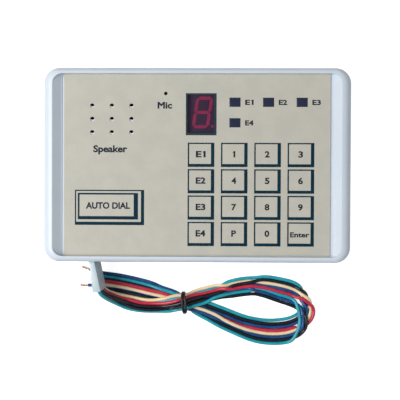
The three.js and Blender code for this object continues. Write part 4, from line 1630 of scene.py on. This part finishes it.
@dataclass
class Harness:
    """Eight limp wires laid in a tied hank on the ground beside the panel."""

    shop: Workshop
    plug: Plug
    diameter: float = 1.55
    length: float = 0.22
    spacing: float = 1.62
    count: int = 190
    points: int = 120
    rounds: int = 280
    layer: float = 1.3
    tie_x: float = -6.1
    tie_y: float = -62.7
    tie_stock: float = 1.15
    tie_half_width: float = 4.6
    tie_half_height: float = 3.7
    tie_part: float = 0.72
    tie_lean: float = math.radians(5.0)
    tie_lift: float = 3.6
    falls: tuple[float, ...] = (0.72, 0.36, 0.1)
    falling_in: float = 0.11
    eased: tuple[int, int] = (3, 14)
    eased_rounds: int = 8
    hold_fade: tuple[float, ...] = (0.9, 0.8, 0.65, 0.5, 0.35, 0.2, 0.1, 0.05)
    free_share: float = 0.8
    under_plug: float = 3.25
    plug_side: float = -41.5
    plug_slope: float = 0.5
    squareness: int = 3
    tie_gap: float = 0.05
    tie_reach: float = 1.2
    tie_taper: float = 1.2
    tie_run: float = 20.0
    tie_spread: float = 0.35
    sink: float = 0.14
    pull: float = 0.08
    stiffness: float = 0.5
    refresh: int = 8
    pushes: int = 3
    push_share: float = 0.3
    push_limit: float = 0.45
    held_length: float = 4.4
    held_places: tuple[float, ...] = (-4.0, -2.4, -0.8, 0.8)
    line_steps: int = 12
    strand_radius: float = 0.17
    strand_ring: float = 0.34
    strand_turns: float = 0.7
    strand_rise: float = 0.3
    strand_steps: int = 15
    tip_inset: float = 1.0
    turn_x: float = 38.8
    turn_steps: int = 9
    strands: int = 7

    def __post_init__(self) -> None:
        """Set the wires and the lines that the hank follows."""
        teal = (srgb(30, 172, 188), srgb(22, 152, 170))
        blue = (srgb(22, 82, 142), srgb(12, 58, 112))
        black = (srgb(3, 9, 20), srgb(7, 15, 29))
        red = (srgb(212, 44, 76), srgb(196, 36, 66))
        beige = (srgb(252, 228, 186), srgb(244, 218, 174))
        self.wires = [
            Wire("teal_a", "wire_teal", *teal, 6, (1.2, 1.7, 0, 0, 0.6), (0, 1, 1, 0, 0, 1), 50.0),
            Wire("black_a", "wire_black", *black, 3, (3.8, 3.8, 1.0, 1.2, 2.1), (2, 2, 2, 0, 0, 0),
                 51.4),
            Wire("blue_a", "wire_blue", *blue, 4, (3, 3, 2.7, 2.6, 0), (0, 1, 1, 2, 1, 1), 51.0,
                 -50.2, 0.43),
            Wire("red", "wire_red", *red, 5, (1.0, 2, 3.9, 3.6, 3), (0, 3, 2, 3, 0, 1), 54.4),
            Wire("beige", "wire_beige", *beige, 7, (0.3, 0, 1.9, 4.1, 4), (3, 3, 0, 1, 2, 1), 52.8),
            Wire("black_b", "wire_black", *black, 1, (5.2, 5.3, 6.4, 6.3, 6.8), (1, 1, 0, 3, 0, 1),
                 50.6),
            Wire("blue_b", "wire_blue", *blue, 2, (4.6, 4.8, 5.3, 5.4, 5.6), (0, 0, 1, 3, 3, 0), 49.8,
                 -50.9, 0.03),
            Wire("teal_b", "wire_teal", *teal, 0, (7, 7, 4.3, 7, 2.6), (3, 2, 0, 5, 3, 0), 48.4),
        ]
        # each row: one edge of the bundle, the other edge
        self.lines = {
            Pass.IN: [
                ((-40.2, -57.6), (-43.2, -61.6)), ((-35.6, -60.1), (-38.2, -64.2)),
                ((-30.4, -61.7), (-31.3, -66.3)), ((-24.4, -62.2), (-24.4, -67.3)),
                ((-18.4, -61.5), (-18.0, -67.2)), ((-12.4, -60.3), (-11.5, -65.9)),
                ((-6.6, -59.2), (-5.5, -65.2)),
            ],
            Pass.UPPER: [
                ((-0.9, -58.1), (0.6, -63.7)), ((5.6, -56.1), (7.0, -61.8)),
                ((12.5, -53.9), (13.9, -60.2)), ((20.8, -51.2), (21.8, -59.3)),
                ((29.6, -50.3), (29.6, -60.0)), ((38.8, -51.7), (38.8, -63.8)),
            ],
            Pass.LOWER: [
                ((38.8, -70.0), (38.8, -82.2)), ((29.7, -70.4), (29.7, -81.6)),
                ((20.9, -69.1), (20.9, -78.6)), ((12.6, -66.0), (12.6, -74.5)),
                ((5.2, -63.5), (3.8, -69.9)), ((-0.4, -61.7), (-1.7, -66.6)),
            ],
            Pass.OUT: [
                ((-5.0, -60.1), (-7.1, -65.9)), ((-12.9, -57.7), (-13.8, -63.4)),
                ((-21.7, -54.7), (-22.6, -61.4)), ((-29.1, -52.6), (-30.0, -59.8)),
                ((-36.1, -51.1), (-36.5, -58.4)), ((-42.1, -50.5), (-42.1, -57.4)),
            ],
        }

    def route(self, wire: Wire) -> tuple[np.ndarray, int]:
        """Rough line of one wire, before it settles.

        Args:
            wire: The wire.

        Returns:
            Evenly spaced points, and how many of them the plug holds straight.
        """
        line = [tuple(self.plug.mouth(wire.way, along)) for along in self.held_places]
        enter, near, far, back, leave = wire.lanes
        pile_in, pile_near, pile_far, _, pile_back, pile_out = wire.layers
        spans = {Pass.IN: (enter, near, pile_in, pile_near), Pass.UPPER: (near, far, pile_near, pile_far),
                 Pass.LOWER: (back, back, pile_back, pile_back),
                 Pass.OUT: (leave, leave, pile_out, pile_out)}
        for stretch, (lane_from, lane_to, layer_from, layer_to) in spans.items():
            rows = self.lines[stretch]
            for row, edges in enumerate(rows):
                share = row / (len(rows) - 1)
                lane = lane_from + (lane_to - lane_from) * share
                x, y = self.across(edges, lane)
                height = self.diameter / 2 + self.layer * (layer_from + (layer_to - layer_from) * share)
                if stretch in (Pass.IN, Pass.UPPER):
                    height += self.tie_lift * max(0.0, 1 - abs(x - self.tie_x) / self.tie_run)
                if stretch is Pass.IN and row < len(self.falls):
                    height += self.falls[row] * (line[0][2] - height)
                    x, y = x + self.falling_in * (height - 2), y + self.falling_in * (height - 2)
                line.append((x, y, height))
            if stretch is Pass.UPPER:
                line += self.turn(wire, line[-1])
        x, y, height = line[-1]
        line.append((wire.end, y + wire.fan * (x - wire.end), height))
        even = resampled(spline(np.array(line), self.line_steps), self.count)
        step = np.linalg.norm(even[1] - even[0])
        return even, int(math.ceil(self.held_length / step))

    def across(self, edges: tuple[tuple[float, float], tuple[float, float]],
               lane: float) -> tuple[float, float]:
        """Place of a lane between the two edges of the bundle.

        Args:
            edges: The two edge points.
            lane: Lane number.

        Returns:
            The place in plan.
        """
        (near_x, near_y), (far_x, far_y) = edges
        inset = self.diameter / 2 / math.hypot(far_x - near_x, far_y - near_y)
        share = inset + (1 - 2 * inset) * lane / (len(self.wires) - 1)
        return near_x + (far_x - near_x) * share, near_y + (far_y - near_y) * share

    def turn(self, wire: Wire, start: Point) -> list[Point]:
        """Half-round bend at the far end of the hank.

        Args:
            wire: The wire.
            start: Where the bend starts.

        Returns:
            Points of the bend, without its two ends.
        """
        end = self.across(self.lines[Pass.LOWER][0], wire.lanes[3])[1]
        middle, half = (start[1] + end) / 2, (start[1] - end) / 2
        _, _, far, peak, back, _ = wire.layers
        bend = []
        for step in range(1, self.turn_steps):
            share = step / self.turn_steps
            angle = HALF_TURN * (0.5 - share)
            pile = far + (peak - far) * min(1, 2 * share) + (back - peak) * max(0, 2 * share - 1)
            bend.append((self.turn_x + (wire.reach - self.turn_x) * math.cos(angle),
                         middle + half * math.sin(angle), self.diameter / 2 + self.layer * pile))
        return bend

    def settle(self) -> list[np.ndarray]:
        """Let the wires sink onto the ground and each other, inside the tie.

        Returns:
            The points of each wire.
        """
        routes, held = zip(*(self.route(wire) for wire in self.wires))
        aim = np.array(routes)
        now = aim.copy()
        wires, count = now.shape[:2]
        owner = np.repeat(np.arange(wires), count)
        order = np.tile(np.arange(count), wires)
        step = np.linalg.norm(np.diff(aim[0], axis=0), axis=1).mean()
        apart = int(math.ceil(3 * self.diameter / step))
        fixed = np.zeros((wires, count, 1))
        for wire, kept in enumerate(held):
            fixed[wire, :kept] = 1
            fixed[wire, kept:kept + len(self.hold_fade), 0] = self.hold_fade
        for turn in range(self.rounds):
            now[:, :, 2] -= self.sink
            now[:, :, :2] += self.pull * (aim[:, :, :2] - now[:, :, :2])
            for _ in range(2):
                bend = np.zeros_like(now)
                bend[:, 1:-1] = (now[:, :-2] + now[:, 2:]) / 2 - now[:, 1:-1]
                bend[:, -1] = (2 * now[:, -2] - now[:, -3] - now[:, -1]) * 0.5
                now += self.stiffness * bend
                now = fixed * aim + (1 - fixed) * now
            flat = now.reshape(-1, 3)
            if turn % self.refresh == 0:
                pairs = self.near_pairs(flat, owner, order, apart)
            for _ in range(self.pushes):
                flat = self.pushed_apart(flat, *pairs)
            now = self.kept_in(flat.reshape(wires, count, 3))
            now = fixed * aim + (1 - fixed) * now
        for _ in range(self.eased_rounds):
            near = slice(self.eased[0], self.eased[1])
            middle = (now[:, self.eased[0] - 1:self.eased[1] - 1]
                      + now[:, self.eased[0] + 1:self.eased[1] + 1]) / 2
            now[:, near] += 0.5 * (middle - now[:, near])
        return list(now)

    def pushed_apart(self, flat: np.ndarray, first: np.ndarray, second: np.ndarray) -> np.ndarray:
        """Points moved away from those they overlap.

        Args:
            flat: All points.
            first: First point of each close pair.
            second: Second point of each close pair.

        Returns:
            The moved points.
        """
        gap = flat[first] - flat[second]
        distance = np.linalg.norm(gap, axis=1) + 1e-9
        share = np.clip(self.spacing - distance, 0, None) * self.push_share / distance
        push = gap * share[:, None]
        moved = np.zeros_like(flat)
        np.add.at(moved, first, push)
        np.add.at(moved, second, -push)
        size = np.linalg.norm(moved, axis=1, keepdims=True)
        return flat + moved * np.minimum(1, self.push_limit / (size + 1e-9))

    def kept_in(self, now: np.ndarray) -> np.ndarray:
        """Points kept above the ground and inside the tie.

        Args:
            now: The points of all wires.

        Returns:
            The same points, moved.
        """
        radius = self.diameter / 2
        away = np.clip(np.abs(now[:, :, 0] - self.tie_x) - self.tie_reach, 0, None)
        room = self.tie_stock / 2 + radius - self.tie_taper * away
        middle = self.tie_half_height + self.tie_stock / 2 + self.tie_gap
        across = (now[:, :, 1] - self.tie_y) / (self.tie_half_width - room)
        up = (now[:, :, 2] - middle) / (self.tie_half_height - room)
        size = (np.abs(across) ** self.squareness + np.abs(up) ** self.squareness) ** (1 / self.squareness)
        keep = 1 / np.maximum(1, size)
        now[:, :, 1] = self.tie_y + (now[:, :, 1] - self.tie_y) * keep
        now[:, :, 2] = np.maximum(middle + (now[:, :, 2] - middle) * keep, radius)
        last = slice(int(self.free_share * now.shape[1]), None)
        clear = np.clip(now[:, last, 0] - self.plug_side, 0, None)
        ceiling = self.under_plug - radius + self.plug_slope * clear
        now[:, last, 2] = np.minimum(now[:, last, 2], ceiling)
        return now

    @staticmethod
    def near_pairs(flat: np.ndarray, owner: np.ndarray, order: np.ndarray,
                   apart: int) -> tuple[np.ndarray, np.ndarray]:
        """Pairs of points close enough to touch soon.

        Args:
            flat: All points.
            owner: Wire of each point.
            order: Place of each point along its wire.
            apart: Least number of points between two of the same wire.

        Returns:
            Indices of the first and second point of each pair.
        """
        squares = (flat ** 2).sum(axis=1)
        distance = squares[:, None] + squares[None, :] - 2 * flat @ flat.T
        first, second = np.nonzero(np.triu(distance < 16, 1))
        keep = (owner[first] != owner[second]) | (np.abs(order[first] - order[second]) > apart)
        return first[keep], second[keep]

    def build(self, housing: bpy.types.Object) -> None:
        """Args:
            housing: The plug's housing; not used.
        """
        tie = self.tie()
        made = {}
        settled = self.settle()
        for wire, path in zip(self.wires, settled):
            line = resampled(path, self.points)
            material = made.get(wire.slot) or Finishes.insulation(wire.slot, wire.tone, wire.shade)
            made[wire.slot] = material
            cord = self.cord(wire, line, material)
            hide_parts("wire_hank")
            tip = self.tip(wire, line)
            exit_point = tuple(self.plug.mouth(wire.way, 0) * MM)

    def cord(self, wire: Wire, line: np.ndarray, material: bpy.types.Material) -> bpy.types.Object:
        """One wire's insulation as a curve.

        Args:
            wire: The wire.
            line: Its points, in millimetres.
            material: Its insulation.

        Returns:
            The curve object.
        """
        curve = bpy.data.curves.new(f"wire_{wire.name}", "CURVE")
        curve.dimensions = "3D"
        curve.bevel_depth = self.diameter * MM / 2
        curve.bevel_resolution = 4
        curve.use_fill_caps = True
        curve.resolution_u = 3
        run = curve.splines.new("NURBS")
        run.points.add(len(line) - 1)
        run.points.foreach_set("co", np.c_[line * MM, np.ones(len(line))].ravel())
        run.order_u = 4
        run.use_endpoint_u = True
        run.use_smooth = True
        piece = bpy.data.objects.new(f"wire_{wire.name}", curve)
        return self.shop.settle(piece, material, wire.slot)

    def tip(self, wire: Wire, line: np.ndarray) -> bpy.types.Object:
        """Twisted bare strands at a wire's free end.

        Args:
            wire: The wire.
            line: Its points.

        Returns:
            The piece.
        """
        end = Vector(line[-1])
        way = (end - Vector(line[-3])).normalized()
        way = Vector((way.x, way.y, 0)).normalized()
        facing = way.to_track_quat("Z", "Y").to_matrix().to_4x4()
        seat = Matrix.Translation(end - way * self.tip_inset) @ facing
        shape = bmesh.new()
        for strand in range(self.strands):
            turn = FULL_TURN * strand / (self.strands - 1)
            out = self.strand_ring if strand < self.strands - 1 else 0.0
            made = bmesh.ops.create_circle(shape, cap_ends=True, segments=8,
                                           radius=self.strand_radius,
                                           matrix=Matrix.Translation((out * math.cos(turn),
                                                                      out * math.sin(turn), 0)))
            faces = list({face for vertex in made["verts"] for face in vertex.link_faces})
            bmesh.ops.spin(shape, geom=faces, cent=(0, 0, 0), axis=(0, 0, 1),
                           dvec=(0, 0, self.strand_rise), angle=FULL_TURN * self.strand_turns,
                           steps=self.strand_steps, use_merge=False)
        bmesh.ops.transform(shape, matrix=seat, verts=shape.verts)
        bmesh.ops.recalc_face_normals(shape, faces=shape.faces)
        return self.shop.piece(f"bare_end_{wire.name}", shape, self.shop.finishes.copper,
                               "wire_copper")

    def tie(self) -> bpy.types.Object:
        """Rubber tie wound twice round the waist of the hank.

        Returns:
            The piece.
        """
        half_width, half_height = self.tie_half_width, self.tie_half_height
        shape = bmesh.new()
        made = bmesh.ops.create_circle(shape, cap_ends=False, segments=14, radius=self.tie_stock / 2)
        bmesh.ops.translate(shape, verts=made["verts"], vec=(half_height, 0, 0))
        bmesh.ops.spin(shape, geom=shape.verts[:] + shape.edges[:], cent=(0, 0, 0), axis=(0, 1, 0),
                       angle=FULL_TURN, steps=44, use_merge=True)
        bmesh.ops.recalc_face_normals(shape, faces=shape.faces)
        turns = []
        for shift in (-self.tie_part, self.tie_part):
            ring = shape.copy()
            for vertex in ring.verts:
                around = math.atan2(vertex.co.x, vertex.co.z)
                side, up = math.sin(around), math.cos(around)
                square = ((abs(side) ** self.squareness + abs(up) ** self.squareness)
                          ** (-1 / self.squareness))
                vertex.co.x += side * (square * half_width - half_height)
                vertex.co.z += up * (square - 1) * half_height
                vertex.co.y += shift * (self.tie_spread + (1 - self.tie_spread) * up ** 2)
            bmesh.ops.rotate(ring, verts=ring.verts,
                             matrix=Matrix.Rotation(math.radians(90) + self.tie_lean, 3, "Z"))
            bmesh.ops.translate(ring, verts=ring.verts,
                                vec=(self.tie_x, self.tie_y,
                                     half_height + self.tie_stock / 2 + self.tie_gap))
            turns.append(ring)
        shape.free()
        return self.shop.piece("tie_band", gathered(turns), self.shop.finishes.rubber, "tie_rubber",
                               stands_for=["wire_tie"])


def spline(points: np.ndarray, steps: int) -> np.ndarray:
    """Smooth line through points.

    Args:
        points: Points to pass through.
        steps: Points made for each stretch.

    Returns:
        The points of the smooth line.
    """
    padded = np.vstack([2 * points[0] - points[1], points, 2 * points[-1] - points[-2]])
    made = []
    for a, b, c, d in zip(padded, padded[1:], padded[2:], padded[3:]):
        for share in np.arange(steps) / steps:
            made.append(0.5 * (2 * b + (c - a) * share + (2 * a - 5 * b + 4 * c - d) * share ** 2
                               + (3 * b - a - 3 * c + d) * share ** 3))
    made.append(points[-1])
    return np.array(made)


def resampled(line: np.ndarray, count: int) -> np.ndarray:
    """A line's points evenly spaced.

    Args:
        line: Points along the line.
        count: How many points to make.

    Returns:
        The new points.
    """
    lengths = np.linalg.norm(np.diff(line, axis=0), axis=1)
    along = np.concatenate([[0], np.cumsum(lengths)])
    wanted = np.linspace(0, along[-1], count)
    return np.stack([np.interp(wanted, along, line[:, axis]) for axis in range(3)], axis=1)


# ------------------------------------------------------------------ inner parts
@dataclass
class Insides:
    """Sound parts, boards and components behind the face."""

    shop: Workshop

    def build(self) -> None:
        """Dress the CAD nodes that keep their own shape."""
        looks = self.shop.finishes
        for name in sorted(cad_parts):
            if name.startswith("switch_"):
                self.shop.dress(name, looks.black)
        for name, material in {
            "speaker_frame": looks.grey, "speaker_cone": looks.paper, "speaker_magnet": looks.steel,
            "mic_boot": looks.rubber, "microphone": looks.rubber, "main_board": looks.board,
            "riser_board": looks.board, "controller_chip": looks.black, "relay": looks.relay,
            "line_transformer": looks.tape, "harness_header": looks.nylon,
        }.items():
            self.shop.dress(name, material)


# ------------------------------------------------------------------ studio
@dataclass
class Studio:
    """Pale floor, soft light and the camera."""

    target: Point = (1.6, -15.2, 26.0)
    distance: float = 446.4
    lean: float = math.radians(1.6)
    pitch: float = math.radians(-1.0)
    roll: float = math.radians(0.23)
    lens: float = 92.0
    sensor: float = 36.0

    def build(self) -> None:
        """Make the camera, the floor and the lights."""
        self.camera()
        self.floor()
        self.sky()
        self.panel_light("key_light", (-0.60, -0.04, 0.80), 0.55, 8.1)
        self.panel_light("fill_light", (0.70, -0.15, 0.60), 0.6, 0.7)

    def camera(self) -> None:
        """Make the camera and give it to the scene."""
        lens = bpy.data.cameras.new("camera")
        lens.lens = self.lens
        lens.sensor_width = self.sensor
        lens.clip_start, lens.clip_end = 0.01, 10
        camera = bpy.data.objects.new("camera", lens)
        turn = (Matrix.Rotation(self.lean, 4, "Y") @ Matrix.Rotation(self.pitch, 4, "X")
                @ Matrix.Rotation(self.roll, 4, "Z"))
        place = Vector(self.target) + turn.to_3x3().col[2] * self.distance
        camera.matrix_world = Matrix.Translation(place * MM) @ turn
        bpy.context.scene.collection.objects.link(camera)
        bpy.context.scene.camera = camera

    def floor(self) -> None:
        """Make the pale floor."""
        shape = bmesh.new()
        bmesh.ops.create_grid(shape, x_segments=1, y_segments=1, size=1.5,
                              matrix=Matrix.Translation((0, 0, -0.0002)))
        mesh = bpy.data.meshes.new("studio_floor")
        shape.to_mesh(mesh)
        shape.free()
        floor = bpy.data.objects.new("studio_floor", mesh)
        bpy.context.scene.collection.objects.link(floor)
        paper = Finish("studio_paper", (0.8, 0.8, 0.8), (0.79, 0.79, 0.79), cloud=2.0, grain=400.0,
                       depth=0.00001, gloss=(0.8, 0.9), specular=0.1, glow=1.0).make()
        bench = Bench(paper.node_tree)
        shader = paper.node_tree.nodes["Principled BSDF"]
        bench.feed(shader.inputs["Emission Strength"],
                   bench.node("ShaderNodeLightPath").outputs["Is Camera Ray"])
        mesh.materials.append(paper)

    @staticmethod
    def sky() -> None:
        """Set an even pale surround."""
        world = bpy.data.worlds.new("studio_surround")
        bpy.context.scene.world = world
        world.use_nodes = True
        surround = world.node_tree.nodes["Background"]
        surround.inputs["Color"].default_value = (0.93, 0.97, 1.0, 1)
        surround.inputs["Strength"].default_value = 0.28

    @staticmethod
    def panel_light(name: str, place: Point, size: float, power: float) -> None:
        """Make a square soft light that faces the object.

        Args:
            name: Light name.
            place: Where it stands, in metres.
            size: Side of its square, in metres.
            power: Its power, in watts.
        """
        light = bpy.data.lights.new(name, "AREA")
        light.size = size
        light.energy = power
        holder = bpy.data.objects.new(name, light)
        turn = (-Vector(place)).to_track_quat("-Z", "Y").to_matrix().to_4x4()
        holder.matrix_world = Matrix.Translation(place) @ turn
        bpy.context.scene.collection.objects.link(holder)


def main() -> None:
    """Build the panel piece by piece."""
    logging.basicConfig(level=logging.INFO, format="%(name)s: %(message)s")
    bpy.context.scene.view_settings.view_transform = "Standard"
    Studio().build()
    shop = Workshop(Finishes())
    plug = Plug(shop)
    Harness(shop, plug).build(plug.build())
    casing = Casing(shop)
    casing.build()
    openings = Openings(casing)
    Overlay(shop, openings).build()
    Display(shop).build()
    Lamps(shop, openings).build()
    Insides(shop).build()


if __name__ == "__main__":
    main()
